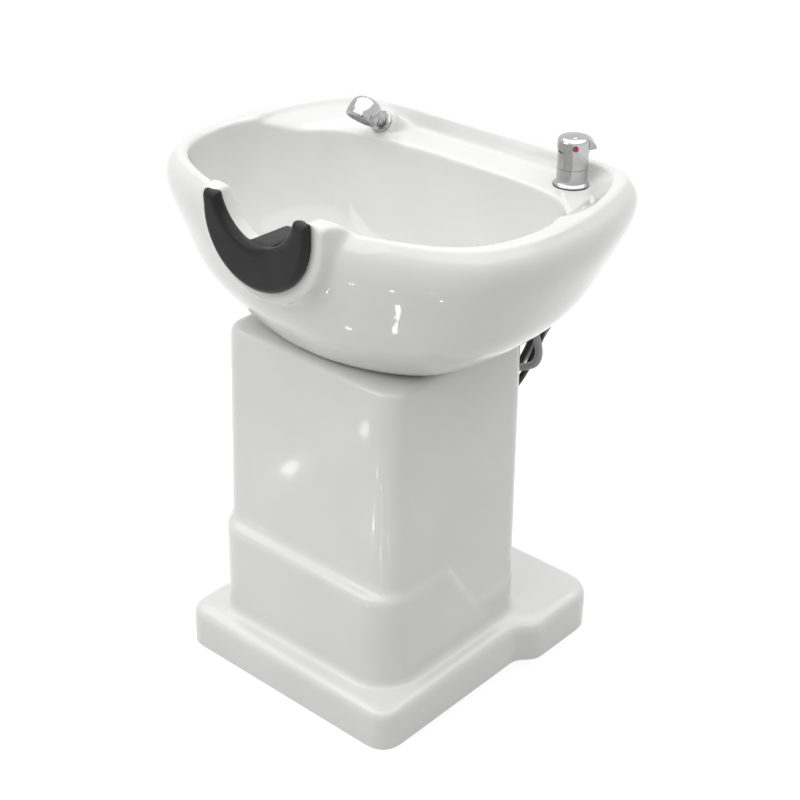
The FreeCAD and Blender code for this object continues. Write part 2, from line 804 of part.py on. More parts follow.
def make_frame():
    """Four tube posts on two floor plates, with a plate on top."""
    side = S.post_side
    inner = side - S.post_wall * 2.0
    height = S.column_height - S.casing_wall - S.plate_thickness * 2.0
    for across, hand in ((-1.0, "left"), (1.0, "right")):
        for y, end in ((-S.post_front, "front"), (S.post_rear, "rear")):
            name = "Post_{}_{}".format(end, hand)
            x = S.post_half_spacing * across
            tube = block(name + "_outer", side, side, height, x=x - side / 2.0,
                         y=y - side / 2.0, z=S.plate_thickness)
            bore = block(name + "_bore", inner, inner, height, x=x - inner / 2.0,
                         y=y - inner / 2.0, z=S.plate_thickness)
            named(cut(name, tube, bore), "frame_post_{}_{}".format(end, hand))
        half = S.foot_plate_half_width
        bar = block("FootBar_" + hand, half * 2.0, S.foot_plate_half_length * 2.0,
                    S.plate_thickness, x=S.post_half_spacing * across - half,
                    y=-S.foot_plate_half_length)
        holes = [cylinder("AnchorHole_{}_{}".format(hand, end), S.anchor_hole_radius,
                          S.plate_thickness, x=S.post_half_spacing * across,
                          y=S.anchor_half_spacing * along)
                 for end, along in (("front", -1.0), ("rear", 1.0))]
        named(cut("FootPlate_" + hand, bar, *holes), "foot_plate_" + hand)
    top = S.column_height - S.casing_wall - S.plate_thickness
    plate = top_plate_body(top)
    drain = cylinder("PlateDrainHole", S.plate_waste_hole_radius, S.plate_thickness,
                     y=S.waste_y, z=top)
    holes = [cylinder("PlateStudHole{}".format(number), S.stud_hole_radius,
                      S.plate_thickness, x=x, y=y, z=top)
             for number, (x, y) in enumerate(stud_places())]
    named(cut("TopPlate", plate, drain, *holes), "frame_top_plate")


def top_plate_body(top):
    """Plate padded from a rectangle, with its four upright edges rounded."""
    body = document.addObject("PartDesign::Body", "TopPlateBlank")
    sketch = body.newObject("Sketcher::SketchObject", "TopPlateOutline")
    sketch.AttachmentSupport = [(origin_plane(body, "XY_Plane"), "")]
    sketch.MapMode = "FlatFace"
    half = S.top_plate_half_width
    front = S.top_plate_front
    rear = S.top_plate_rear
    corners = [(-half, -front), (half, -front), (half, rear), (-half, rear)]
    for index, (x, y) in enumerate(corners):
        after_x, after_y = corners[(index + 1) % 4]
        sketch.addGeometry(Part.LineSegment(Vector(x.value, y.value, 0),
                                            Vector(after_x.value, after_y.value, 0)), False)
    for index in range(4):
        follower = (index + 1) % 4
        sketch.addConstraint(Sketcher.Constraint("Coincident", index, 2, follower, 1))
        for kind, length in (("DistanceX", corners[index][0]), ("DistanceY", corners[index][1])):
            number = sketch.addConstraint(Sketcher.Constraint(kind, -1, 1, index, 1,
                                                              length.value))
            sketch.setExpression("Constraints[{}]".format(number), length.formula)
    pad = body.newObject("PartDesign::Pad", "TopPlatePad")
    pad.Profile = sketch
    bind(pad, "Length", S.plate_thickness)
    document.recompute()
    uprights = ["Edge{}".format(number)
                for number, edge in enumerate(pad.Shape.Edges, start=1)
                if edge.BoundBox.ZLength > S.plate_thickness.value / 2]
    corner = body.newObject("PartDesign::Fillet", "TopPlateCorners")
    corner.Base = (pad, uprights)
    bind(corner, "Radius", S.top_plate_corner_round)
    body.Tip = corner
    return place(body, z=top)


def make_bracket():
    """Shelf between the rear posts that carries the two inlet couplings."""
    half = S.post_half_spacing - S.post_side / 2.0
    shelf = block("Shelf", half * 2.0, S.bracket_depth, S.bracket_thickness, x=-half,
                  y=S.post_rear - S.bracket_depth / 2.0, z=S.bracket_height)
    holes = [cylinder("ShelfHole{}".format(number), S.coupling_shank_radius,
                      S.bracket_thickness,
                      x=S.coupling_half_spacing * side, y=S.post_rear, z=S.bracket_height)
             for number, side in enumerate((-1.0, 1.0))]
    named(cut("Bracket", shelf, *holes), "inlet_bracket")


# Bowl


def bowl_outline(shares, inset=0.0):
    """Outline of the bowl's outside at one row of the section table."""
    height_share, wide, front, rear = shares
    base = S.column_height.value + S.gasket_thickness.value
    top = S.bowl_height.value - S.rim_round.value
    height = base + height_share * (top - base)
    return mirrored_curve(RIM_SHARES, wide * S.bowl_half_width.value - inset,
                          front * S.bowl_front.value - inset,
                          rear * S.bowl_rear.value - inset, height)


def rim_sections(shares, half_width, front, rear, inward):
    """Outlines of a rim's rounded edge, from its foot to its crest."""
    radius = S.rim_round.value
    foot = S.bowl_height.value - radius
    outlines = []
    for quarter in (0.0, 30.0, 60.0, 90.0):
        angle = math.radians(quarter)
        shift = inward * radius * (1.0 - math.cos(angle))
        outlines.append(mirrored_curve(shares, half_width - shift, front - shift,
                                       rear - shift, foot + radius * math.sin(angle)))
    return outlines


def bowl_outside():
    """The bowl's outer form, from its base on the column to its rounded rim."""
    wall = Part.makeLoft([bowl_outline(row) for row in BOWL_SECTION_SHARES], True, False)
    wide_share, front_share, rear_share = BOWL_SECTION_SHARES[-1][1:]
    rim = Part.makeLoft(rim_sections(RIM_SHARES, wide_share * S.bowl_half_width.value,
                                     front_share * S.bowl_front.value,
                                     rear_share * S.bowl_rear.value, 1.0),
                        True, True)
    return wall.fuse(rim)


def basin_space():
    """The hollow of the basin, flared where it meets the rim's crest."""
    top = S.bowl_height.value - S.rim_round.value
    floor = S.bowl_floor.value
    outlines = []
    for height_share, wide, front, rear in BASIN_SECTION_SHARES:
        outlines.append(mirrored_curve(BASIN_SHARES, wide * S.basin_half_width.value,
                                       front * S.basin_front.value,
                                       rear * S.basin_rear.value,
                                       floor + height_share * (top - floor)))
    hollow = Part.makeLoft(outlines, True, False)
    flare = Part.makeLoft(rim_sections(BASIN_SHARES, S.basin_half_width.value,
                                       S.basin_front.value, S.basin_rear.value, -1.0),
                          True, True)
    return hollow.fuse(flare)


def deck_space():
    """The space over the sunk deck behind the basin."""
    half_width = S.deck_half_width.value
    front = S.deck_rear.value
    rear = S.deck_rear.value
    floor = mirrored_curve(DECK_SHARES, half_width - S.deck_side_slope.value,
                           front - S.deck_side_slope.value,
                           rear - S.deck_rear_slope.value, S.deck_height.value)
    slope = Part.makeLoft([floor, mirrored_curve(DECK_SHARES, half_width, front, rear,
                                                 S.bowl_height.value - S.rim_round.value)],
                          True, True)
    flare = Part.makeLoft(rim_sections(DECK_SHARES, half_width, front, rear, -1.0),
                          True, True)
    return slope.fuse(flare)


def rear_recess():
    """Service hollow below the deck, open behind and below."""
    ceiling = S.deck_height.value - S.deck_thickness.value
    rear = S.bowl_rear.value - S.rear_skirt_wall.value
    foot = S.recess_foot.value
    fall = ceiling - foot
    outlines = []
    for drop, wide, front in RECESS_SHARES:
        half = wide * S.recess_half_width.value
        near = front * S.recess_front.value
        height = ceiling - drop * fall
        outlines.append(Part.makePolygon([Vector(-half, near, height),
                                          Vector(half, near, height),
                                          Vector(half, rear, height),
                                          Vector(-half, rear, height),
                                          Vector(-half, near, height)]))
    return Part.makeLoft(outlines, True, True)


def lip_outline(radius, y, top):
    """U shaped outline on a plane across the bowl, open at the top."""
    axis = S.lip_axis_height.value
    left = Vector(-radius, y, axis)
    right = Vector(radius, y, axis)
    bottom = Vector(0, y, axis - radius)
    arc = Part.Arc(left, bottom, right).toShape()
    sides = [Part.LineSegment(right, Vector(radius, y, top)).toShape(),
             Part.LineSegment(Vector(radius, y, top), Vector(-radius, y, top)).toShape(),
             Part.LineSegment(Vector(-radius, y, top), left).toShape()]
    return Part.Wire([arc] + sides)


def shoulder_rise(reach):
    """Space below the lip's top, which swells over the rim beside the opening."""
    base = S.bowl_height.value
    radius = S.lip_radius.value
    right = [Vector(wide * radius, -reach, base + up * S.lip_rise.value)
             for wide, up in SHOULDER_SHARES]
    left = [Vector(-spot.x, spot.y, spot.z) for spot in reversed(right)]
    curves = []
    for spots in (left, right):
        curve = Part.BSplineCurve()
        curve.interpolate(spots)
        curves.append(curve.toShape())
    low = base - 2 * radius
    corners = [right[-1], Vector(right[-1].x, -reach, low), Vector(left[0].x, -reach, low),
               left[0]]
    crown = Part.LineSegment(left[-1], right[0]).toShape()
    sides = Part.makePolygon(corners).Edges
    face = Part.Face(Part.Wire([curves[0], crown, curves[1]] + sides))
    return face.extrude(Vector(0, reach, 0))


def mouth_prism():
    """Upright space over the flared mouth of the basin."""
    radius = S.rim_round.value
    outline = mirrored_curve(BASIN_SHARES, S.basin_half_width.value + radius,
                             S.basin_front.value + radius, S.basin_rear.value + radius,
                             S.bowl_height.value - 2 * radius)
    return Part.Face(outline).extrude(Vector(0, 0, S.lip_radius.value))


def neck_lip():
    """Collar that flares out of the front wall and rises beside the neck opening."""
    front = S.lip_front.value
    run = front - S.lip_root.value
    top = S.bowl_height.value + 2 * S.lip_rise.value
    sections = [lip_outline(S.lip_radius.value + out * S.lip_flare.value,
                            back * run - front, top)
                for back, out in LIP_FLARE_SHARES]
    collar = Part.makeLoft(sections, True, False)
    collar = collar.common(shoulder_rise(2 * front)).cut(mouth_prism())
    level = S.bowl_height.value - S.lip_edge_round.value
    rims = [edge for edge in collar.Edges
            if edge.BoundBox.ZMin > level and edge.BoundBox.YMin < -S.lip_root.value
            and edge.Length > S.lip_edge_round.value]
    return collar.makeFillet(S.lip_edge_round.value, rims)


def guide_frame():
    """Placement whose Z axis leaves the hose guide along the hose."""
    return Placement(Vector(S.guide_x.value, S.guide_y.value, S.guide_z.value),
                     Rotation(Vector(1, 0, 0), S.guide_tilt.value))


def guide_boss(radius, near, far):
    """Cylinder on the guide's axis between two depths below the boss's face."""
    rod = Part.makeCylinder(radius, far - near, Vector(0, 0, -far))
    rod.Placement = guide_frame()
    return rod


def make_bowl():
    """Ceramic bowl: basin, sunk deck, neck opening, guide boss and rear recess."""
    overrun = S.cut_overrun.value
    body = bowl_outside().fuse(neck_lip())
    body = body.cut([basin_space(), rear_recess()])
    neck = Part.makeCylinder(S.neck_radius.value, S.lip_front.value,
                             Vector(0, -S.lip_front.value - overrun,
                                    S.neck_axis_height.value), Vector(0, 1, 0))
    body = body.cut([deck_space(), neck])
    body = body.fuse(guide_boss(S.boss_radius.value, 0.0, S.boss_length.value))
    base = S.column_height.value + S.gasket_thickness.value
    drill = [guide_boss(S.boss_counterbore_radius.value, S.boss_nut_seat.value,
                        S.boss_length.value + 3 * overrun),
             guide_boss(S.boss_hole_radius.value, -overrun, S.boss_length.value),
             Part.makeCylinder(S.shank_hole_radius.value, 3 * S.deck_thickness.value,
                               Vector(S.mixer_x.value, S.mixer_y.value,
                                      S.deck_height.value - 2 * S.deck_thickness.value)),
             Part.makeCylinder(S.waste_hole_radius.value, S.bowl_floor.value - base
                               + 2 * overrun,
                               Vector(0, S.waste_y.value, base - overrun)),
             Part.makeCylinder(S.mixer_gasket_radius.value + S.mixer_seat_gap.value,
                               S.mixer_seat_depth.value,
                               Vector(S.mixer_x.value, S.mixer_y.value,
                                      S.deck_height.value))]
    for x, y in stud_places():
        drill.append(Part.makeCylinder(S.stud_radius.value,
                                       S.stud_socket_depth.value + overrun,
                                       Vector(x.value, y.value, base - overrun)))
    body = body.cut(drill)
    solids = sorted(body.Solids, key=lambda solid: solid.Volume)
    print("bowl solids", len(solids), "volume", round(solids[-1].Volume))
    return named(feature("Bowl", solids[-1]), "bowl")


def make_seat_gasket():
    """Thin dark sheet between the bowl's base and the column, seen as the seam."""
    inset = S.gasket_inset.value
    outline = bowl_outline(BOWL_SECTION_SHARES[0], inset)
    outline.translate(Vector(0, 0, -S.gasket_thickness.value))
    inner = bowl_outline(BOWL_SECTION_SHARES[0], inset + S.gasket_width.value)
    inner.translate(Vector(0, 0, -S.gasket_thickness.value))
    face = Part.Face(outline).cut(Part.Face(inner))
    sheet_solid = face.extrude(Vector(0, 0, S.gasket_thickness.value))
    return named(feature("SeatGasket", sheet_solid), "seat_gasket")


def make_studs():
    """Studs from sockets in the bowl's base, with washers and nuts under the plate."""
    base = S.column_height + S.gasket_thickness
    under = S.column_height - S.casing_wall - S.plate_thickness
    top = base + S.stud_socket_depth
    studs = []
    washers = []
    nuts = []
    for number, (x, y) in enumerate(stud_places()):
        studs.append(cylinder("Stud{}".format(number), S.stud_radius, S.stud_length,
                              x=x, y=y, z=top - S.stud_length))
        washers.append(ring("Washer{}".format(number), S.washer_radius, S.stud_radius,
                            S.washer_thickness, x=x, y=y, z=under - S.washer_thickness))
        prism = hexagon("NutBlank{}".format(number), S.nut_corner_radius, S.nut_height,
                        x=x, y=y, z=under - S.washer_thickness - S.nut_height)
        bore = cylinder("NutBore{}".format(number), S.stud_radius, S.nut_height,
                        x=x, y=y, z=under - S.washer_thickness - S.nut_height)
        nuts.append(cut("Nut{}".format(number), prism, bore))
    named(group("Studs", *studs), "bowl_studs")
    named(group("Washers", *washers), "stud_washers")
    named(group("Nuts", *nuts), "stud_nuts")


# Neck rest


def rest_roll():
    """Rolled crescent round the neck opening, with its apron on the lip's face."""
    gap = S.rest_gap.value
    axis = S.neck_axis_height.value
    bore = S.neck_radius.value - gap
    back = -S.lip_front.value - gap
    front = back - S.rest_apron_thickness.value
    rear = -S.rest_inner_edge.value
    outer = S.rest_apron_radius.value
    height = bore - S.rest_saddle_radius.value
    spots = [Vector(0, front + deep * (rear - front), axis - bore + rise * height)
             for deep, rise in ROLL_SHARES]
    crown = Part.BSplineCurve()
    crown.interpolate(spots)
    corners = [spots[-1], Vector(0, back, axis - bore), Vector(0, back, axis - outer),
               Vector(0, front, axis - outer), spots[0]]
    sides = [Part.LineSegment(start, end).toShape()
             for start, end in zip(corners, corners[1:])]
    face = Part.Face(Part.Wire([crown.toShape()] + sides))
    roll = face.revolve(Vector(0, 0, axis), Vector(0, 1, 0), 360)
    low = S.lip_axis_height.value - outer
    top = S.rest_top.value
    apron = Part.Face(lip_outline(outer, front, top)).extrude(Vector(0, back - front, 0))
    edges = [edge for edge in apron.Edges
             if edge.BoundBox.YMax < front + gap and edge.BoundBox.ZMin < top - gap]
    apron = apron.makeFillet(S.rest_edge_round.value, edges)
    roll = roll.fuse(apron.cut(Part.makeCylinder(bore, back - front, Vector(0, front, axis),
                                                 Vector(0, 1, 0))))
    outline = rounded_polygon([Vector(-outer, front, low), Vector(-outer, rear, low),
                               Vector(-outer, rear, top), Vector(-outer, front, top)],
                              [gap, gap, S.rest_horn_round.value, S.rest_horn_round.value])
    return roll.common(Part.Face(outline).extrude(Vector(2 * outer, 0, 0)))


def rest_tongue():
    """Tongue over the lip behind the roll, with a hook behind the lip's inner edge."""
    half = S.rest_tongue_half_width.value
    gap = S.rest_gap.value
    near = -S.lip_front.value
    end = -S.rest_tongue_end.value
    top = S.bowl_height.value - S.rest_tongue_drop.value
    low = top - S.rest_hook_drop.value
    corner = S.rest_tongue_round.value
    hook_end = -S.basin_front.value + S.rim_round.value + 2 * S.rest_hook_depth.value
    bar = Part.makeBox(2 * half, end - near, top - low, Vector(-half, near, low))
    edges = [edge for edge in bar.Edges
             if edge.BoundBox.ZMin > low and edge.BoundBox.YMax > near + gap]
    bar = bar.makeFillet(corner, edges)
    bore = Part.makeCylinder(S.neck_radius.value - gap, end - near,
                             Vector(0, near, S.neck_axis_height.value), Vector(0, 1, 0))
    hook = Part.makeBox(2 * half, S.rest_hook_depth.value, top - low - corner,
                        Vector(-half, hook_end - S.rest_hook_depth.value, low))
    return bar.common(bore).fuse(hook)


def make_neck_rest():
    """Rubber roll round the neck opening, with the tongue that hooks it on the lip."""
    rest = rest_roll().fuse(rest_tongue()).removeSplitter()
    return named(feature("NeckRest", rest.Solids[0]), "neck_rest")


# Waste


def make_waste():
    """Flange in the basin's floor, gasket, locknut, strainer, trap and floor pipe."""
    base = S.column_height + S.gasket_thickness
    floor = S.bowl_floor
    length = floor - S.waste_tube_foot
    dish = S.waste_flange_height / 2.0
    named(turned("WasteFlange",
                 [(S.waste_bore_radius, 0), (S.waste_tube_radius, 0),
                  (S.waste_tube_radius, length), (S.waste_flange_radius, length),
                  (S.waste_flange_radius, length + dish),
                  (S.waste_flange_radius - dish, length + S.waste_flange_height),
                  (S.waste_tube_radius, length + S.waste_flange_height),
                  (S.waste_bore_radius, length + dish)],
                 y=S.waste_y, z=S.waste_tube_foot), "waste_flange")
    named(ring("WasteGasket", S.waste_gasket_radius, S.waste_tube_radius,
               S.waste_gasket_height, y=S.waste_y, z=base - S.waste_gasket_height),
          "waste_gasket")
    nut_z = base - S.waste_gasket_height - S.locknut_height
    blank = hexagon("WasteNutBlank", S.locknut_radius, S.locknut_height, y=S.waste_y, z=nut_z)
    bore = cylinder("WasteNutBore", S.waste_tube_radius, S.locknut_height, y=S.waste_y,
                    z=nut_z)
    named(cut("WasteNut", blank, bore), "waste_locknut")
    make_strainer(floor + dish)
    named(ring("TailPipe", S.tail_radius, S.tail_radius - S.tail_wall,
               S.waste_tube_foot - S.tail_foot, y=S.waste_y, z=S.tail_foot), "tail_pipe")
    named(ring("WasteCoupling", S.waste_tube_radius, S.tail_radius, S.slip_nut_height,
               y=S.waste_y, z=S.waste_tube_foot - S.slip_nut_height), "tail_coupling")
    make_trap()


def make_strainer(seat):
    """Perforated cap with a lifting knob, loose in the waste flange."""
    cap = turned("StrainerCap",
                 [(0, 0), (S.strainer_radius, 0), (S.strainer_radius, S.strainer_height),
                  (S.strainer_knob_radius, S.strainer_height),
                  (S.strainer_knob_radius, S.strainer_height + S.strainer_knob_height),
                  (0, S.strainer_height + S.strainer_knob_height)],
                 y=S.waste_y, z=seat - S.strainer_height)
    hole = cylinder("StrainerHole", S.strainer_hole_radius, S.strainer_height * 3.0,
                    x=S.strainer_ring_radius, y=S.waste_y, z=seat - S.strainer_height * 2.0)
    holes = [hole]
    count = int(S.strainer_holes.value)
    for number in range(1, count):
        angle = 2 * math.pi * number / count
        holes.append(cylinder("StrainerHole{}".format(number), S.strainer_hole_radius,
                              S.strainer_height * 3.0,
                              x=S.strainer_ring_radius * math.cos(angle),
                              y=S.waste_y + S.strainer_ring_radius * math.sin(angle),
                              z=seat - S.strainer_height * 2.0))
    named(cut("Strainer", cap, *holes), "hair_strainer")


def make_trap():
    """Bottle trap with its cup, nuts and the pipe that drops to the floor."""
    height = S.trap_top - S.trap_foot
    inner = S.trap_radius - S.trap_wall
    crown = S.trap_wall * 2.0
    shell = turned("TrapShell",
                   [(0, 0), (S.trap_radius, 0), (S.trap_radius, height - crown),
                    (S.tail_radius + S.trap_wall, height), (0, height)],
                   y=S.waste_y, z=S.trap_foot)
    forward = Rotation(Vector(1, 0, 0), 90)
    reach = S.trap_radius + S.trap_wall
    spout = cylinder("TrapSpout", S.pipe_radius + S.trap_wall, reach,
                     y=S.waste_y, z=S.trap_outlet_height, rotation=forward)
    port = cylinder("TrapPort", S.pipe_radius - S.pipe_wall, reach + S.cut_overrun,
                    y=S.waste_y, z=S.trap_outlet_height, rotation=forward)
    hollow = turned("TrapHollow",
                    [(0, 0), (inner, 0), (inner, height - crown),
                     (S.tail_radius, height - S.trap_wall),
                     (S.tail_radius, height + S.cut_overrun * 2.0),
                     (0, height + S.cut_overrun * 2.0)],
                    y=S.waste_y, z=S.trap_foot - S.cut_overrun)
    named(cut("TrapBody", fuse("TrapCasting", shell, spout), port, hollow), "trap_body")
    named(turned("TrapCup",
                 [(0, 0), (inner - S.trap_wall, 0), (S.trap_radius, S.trap_wall * 2.0),
                  (S.trap_radius, S.trap_foot - S.trap_cup_foot),
                  (inner, S.trap_foot - S.trap_cup_foot), (inner, S.trap_wall * 2.0),
                  (0, S.trap_wall * 2.0)],
                 y=S.waste_y, z=S.trap_cup_foot), "trap_cup")
    blank = hexagon("SlipNutBlank", S.slip_nut_radius, S.slip_nut_height, y=S.waste_y,
                    z=S.trap_top)
    bore = cylinder("SlipNutBore", S.tail_radius, S.slip_nut_height, y=S.waste_y,
                    z=S.trap_top)
    named(cut("SlipNut", blank, bore), "trap_inlet_nut")
    face = S.waste_y - reach
    outlet = hexagon("OutletNutBlank", S.slip_nut_radius, S.slip_nut_height, y=face,
                     z=S.trap_outlet_height, rotation=forward)
    hole = cylinder("OutletNutBore", S.pipe_radius, S.slip_nut_height, y=face,
                    z=S.trap_outlet_height, rotation=forward)
    named(cut("OutletNut", outlet, hole), "trap_outlet_nut")
    named(feature("WastePipe", waste_pipe_shape(face.value)), "waste_pipe")


def waste_pipe_shape(start):
    """Pipe from the trap, round one bend and down to the floor."""
    height = S.trap_outlet_height.value
    bend = S.pipe_bend_radius.value
    end = S.pipe_y.value
    rims = []
    for radius in (S.pipe_radius.value, S.pipe_radius.value - S.pipe_wall.value):
        circle = Part.makeCircle(radius, Vector(0, end + bend, height), Vector(0, 1, 0))
        rims.append(Part.Face(Part.Wire([circle])))
    wall = rims[0].cut(rims[1])
    level = wall.extrude(Vector(0, start - end - bend, 0))
    elbow = wall.revolve(Vector(0, end + bend, height - bend), Vector(1, 0, 0), 90)
    lower = wall.copy()
    lower.rotate(Vector(0, end + bend, height - bend), Vector(1, 0, 0), 90)
    drop = lower.extrude(Vector(0, 0, S.pipe_foot.value - height + bend))
    return level.fuse([elbow, drop]).removeSplitter()


# Mixer


def make_mixer():
    """Body, cartridge, lever and fixings of the single lever mixer."""
    x, y = S.mixer_x, S.mixer_y
    deck = S.deck_height
    named(ring("MixerGasket", S.mixer_gasket_radius, S.shank_radius, S.mixer_gasket_height,
               x=x, y=y, z=deck), "mixer_gasket")
    flange_z = deck + S.mixer_gasket_height
    edge = S.mixer_flange_height / 3.0
    named(turned("MixerFlange",
                 [(S.shank_radius, 0), (S.mixer_flange_radius, 0),
                  (S.mixer_flange_radius, edge),
                  (S.mixer_flange_radius - edge, edge * 2.0),
                  (S.mixer_body_radius, S.mixer_flange_height),
                  (S.shank_radius, S.mixer_flange_height)],
                 x=x, y=y, z=flange_z), "mixer_flange")
    body_z = flange_z + S.mixer_flange_height
    seam = S.mixer_seam_height
    width = S.mixer_seam_width
    radius = S.mixer_body_radius
    named(turned("MixerBody",
                 [(0, 0), (radius, 0), (radius, seam), (radius - width, seam + width / 2.0),
                  (radius, seam + width), (radius, S.mixer_body_height),
                  (S.cartridge_radius, S.mixer_body_height),
                  (S.cartridge_radius, S.cartridge_seat), (0, S.cartridge_seat)],
                 x=x, y=y, z=body_z), "mixer_body")
    seat = body_z + S.cartridge_seat
    named(turned("Cartridge", [(0, 0), (S.cartridge_radius, 0),
                               (S.cartridge_radius, S.cartridge_height),
                               (0, S.cartridge_height)], x=x, y=y, z=seat),
          "mixer_cartridge")
    nut_z = seat + S.cartridge_height
    named(ring("CartridgeNut", S.cartridge_radius, S.cartridge_bore_radius,
               S.cartridge_nut_height, x=x, y=y, z=nut_z), "cartridge_nut")
    rotor_radius = S.cartridge_bore_radius - S.running_gap
    named(cylinder("Rotor", rotor_radius, S.rotor_height, x=x, y=y,
                   z=nut_z + S.running_gap), "cartridge_rotor")
    make_lever(x, y, body_z + S.mixer_body_height + S.running_gap,
               nut_z + S.rotor_height + S.running_gap * 2.0)
    make_shank(x, y, body_z)


def lever_turn():
    """Rotation that turns +X to the lever's own direction."""
    return Rotation(Vector(0, 0, 1), S.lever_direction.value)


def make_lever(x, y, foot, stem_foot):
    """Domed cap with a drooping nose, its stem and its two colour marks."""
    radius = S.lever_radius
    crown = S.lever_height
    dome = turned("LeverDome",
                  [(0, 0), (radius, 0), (radius, crown - S.lever_dome),
                   (radius - S.lever_dome, crown - S.lever_dome / 6.0, S.lever_dome * 1.12, 1),
                   (0, crown, dome_radius(radius - S.lever_dome, S.lever_dome / 6.0), 1)],
                  x=x, y=y, z=foot, rotation=lever_turn())
    nose = lever_nose(x, y, foot)
    hollow_height = crown - S.lever_top_wall
    hollow = cylinder("LeverHollow", radius - S.lever_wall, hollow_height, x=x, y=y, z=foot)
    heel = lever_heel(x, y, foot)
    cap = fuse("LeverCap", dome, nose)
    sockets = [mark_disc("MarkSocket{}".format(number), side, x, y, foot)
               for number, side in enumerate((-1.0, 1.0))]
    named(cut("Lever", cap, hollow, heel, *sockets), "mixer_lever")
    half = S.stem_side / 2.0
    stem = block("Stem", S.stem_side, S.stem_side, foot + hollow_height - stem_foot,
                 x=x - half, y=y - half, z=stem_foot)
    named(stem, "lever_stem")
    for side, label in ((-1.0, "hot_mark"), (1.0, "cold_mark")):
        named(mark_disc(label.title().replace("_", ""), side, x, y, foot, S.mark_proud), label)


def mark_disc(name, side, x, y, foot, proud=ZERO):
    """Round inlay in the cap's flank, square to the lever's direction."""
    turn = math.radians(S.lever_direction.value + 90.0 * side)
    depth = S.lever_radius - S.mark_depth
    lying = Rotation(Vector(0, 0, 1), math.degrees(turn)).multiply(
        Rotation(Vector(0, 1, 0), 90))
    height = S.mark_depth + proud if proud is not ZERO else S.mark_depth + S.cut_overrun
    return cylinder(name, S.mark_radius, height, x=x + depth * math.cos(turn),
                    y=y + depth * math.sin(turn), z=foot + S.mark_height, rotation=lying)


def lever_nose(x, y, foot):
    """Stub of the lever: a drooping nose drawn from its side view."""
    reach = S.lever_reach.value
    crown = S.lever_height.value
    low = S.lever_nose_height.value
    half = S.lever_nose_half_width.value
    radius = S.lever_radius.value
    ridge = Part.Arc(Vector(radius / 3, 0, crown - S.lever_dome.value / 8),
                     Vector(radius, 0, crown * 0.8),
                     Vector(reach, 0, low)).toShape()
    spots = [Vector(reach, 0, low), Vector(reach - half / 4, 0, low - half / 6),
             Vector(radius - S.lever_wall.value, 0, low / 2),
             Vector(radius / 3, 0, low / 2),
             Vector(radius / 3, 0, crown - S.lever_dome.value / 8)]
    side = Part.Face(Part.Wire([ridge] + Part.makePolygon(spots).Edges))
    side.translate(Vector(0, -half, 0))
    slab = side.extrude(Vector(0, 2 * half, 0))
    return feature("LeverNose", slab, Placement(Vector(x.value, y.value, foot.value),
                                                lever_turn()))


def lever_heel(x, y, foot):
    """Wedge taken off under the cap behind the pivot, so that the lever can lift."""
    back = S.lever_pivot_back.value
    reach = S.lever_reach.value
    rise = (reach - back) * math.tan(math.radians(S.lever_lift_angle.value))
    wedge = Part.Face(Part.makePolygon([Vector(-back, -reach, 0), Vector(-reach, -reach, 0),
                                        Vector(-reach, -reach, rise),
                                        Vector(-back, -reach, 0)]))
    return feature("LeverHeel", wedge.extrude(Vector(0, 2 * reach, 0)),
                   Placement(Vector(x.value, y.value, foot.value), lever_turn()))


def make_shank(x, y, body_z):
    """Threaded shank through the deck, with its washer and locknut below."""
    named(cylinder("Shank", S.shank_radius, body_z - S.shank_foot, x=x, y=y,
                   z=S.shank_foot), "mixer_shank")
    ceiling = S.deck_height - S.deck_thickness
    washer_z = ceiling - S.shank_washer_height
    named(ring("ShankWasher", S.shank_washer_radius, S.shank_radius, S.shank_washer_height,
               x=x, y=y, z=washer_z), "shank_washer")
    nut_z = washer_z - S.shank_nut_height
    blank = hexagon("ShankNutBlank", S.shank_nut_radius, S.shank_nut_height, x=x, y=y,
                    z=nut_z)
    bore = cylinder("ShankNutBore", S.shank_radius, S.shank_nut_height, x=x, y=y, z=nut_z)
    named(cut("ShankNut", blank, bore), "shank_nut")


# Hose guide and hand shower


def on_guide(distance):
    """Point at a distance along the guide's axis from the boss's face."""
    tilt = math.radians(S.guide_tilt.value)
    return {"x": S.guide_x, "y": S.guide_y - distance * math.sin(tilt),
            "z": S.guide_z + distance * math.cos(tilt),
            "rotation": Rotation(Vector(1, 0, 0), S.guide_tilt.value)}


def make_guide():
    """Flanged guide through the boss, its nut below and its plastic bush."""
    length = S.guide_tube_length
    flange = S.guide_flange_height
    edge = flange / 3.0
    named(turned("HoseGuide",
                 [(S.guide_bore_radius, 0), (S.guide_tube_radius, 0),
                  (S.guide_tube_radius, length), (S.guide_flange_radius, length),
                  (S.guide_flange_radius, length + flange - edge),
                  (S.guide_flange_radius - edge, length + flange),
                  (S.guide_bore_radius, length + flange)],
                 **on_guide(-length)), "hose_guide")
    blank = hexagon("GuideNutBlank", S.guide_nut_radius, S.guide_nut_height,
                    **on_guide(-S.boss_nut_seat - S.guide_nut_height))
    bore = cylinder("GuideNutBore", S.guide_tube_radius, S.guide_nut_height,
                    **on_guide(-S.boss_nut_seat - S.guide_nut_height))
    named(cut("GuideNut", blank, bore), "guide_nut")
    inner = S.guide_bore_radius - S.bush_wall
    lip = S.bush_lip
    named(turned("GuideBush",
                 [(inner, 0), (S.guide_bore_radius, 0), (S.guide_bore_radius, S.bush_length),
                  (S.guide_bore_radius + lip, S.bush_length),
                  (S.guide_bore_radius + lip, S.bush_length + lip),
                  (inner, S.bush_length + lip)],
                 **on_guide(flange - S.bush_length)), "guide_bush")


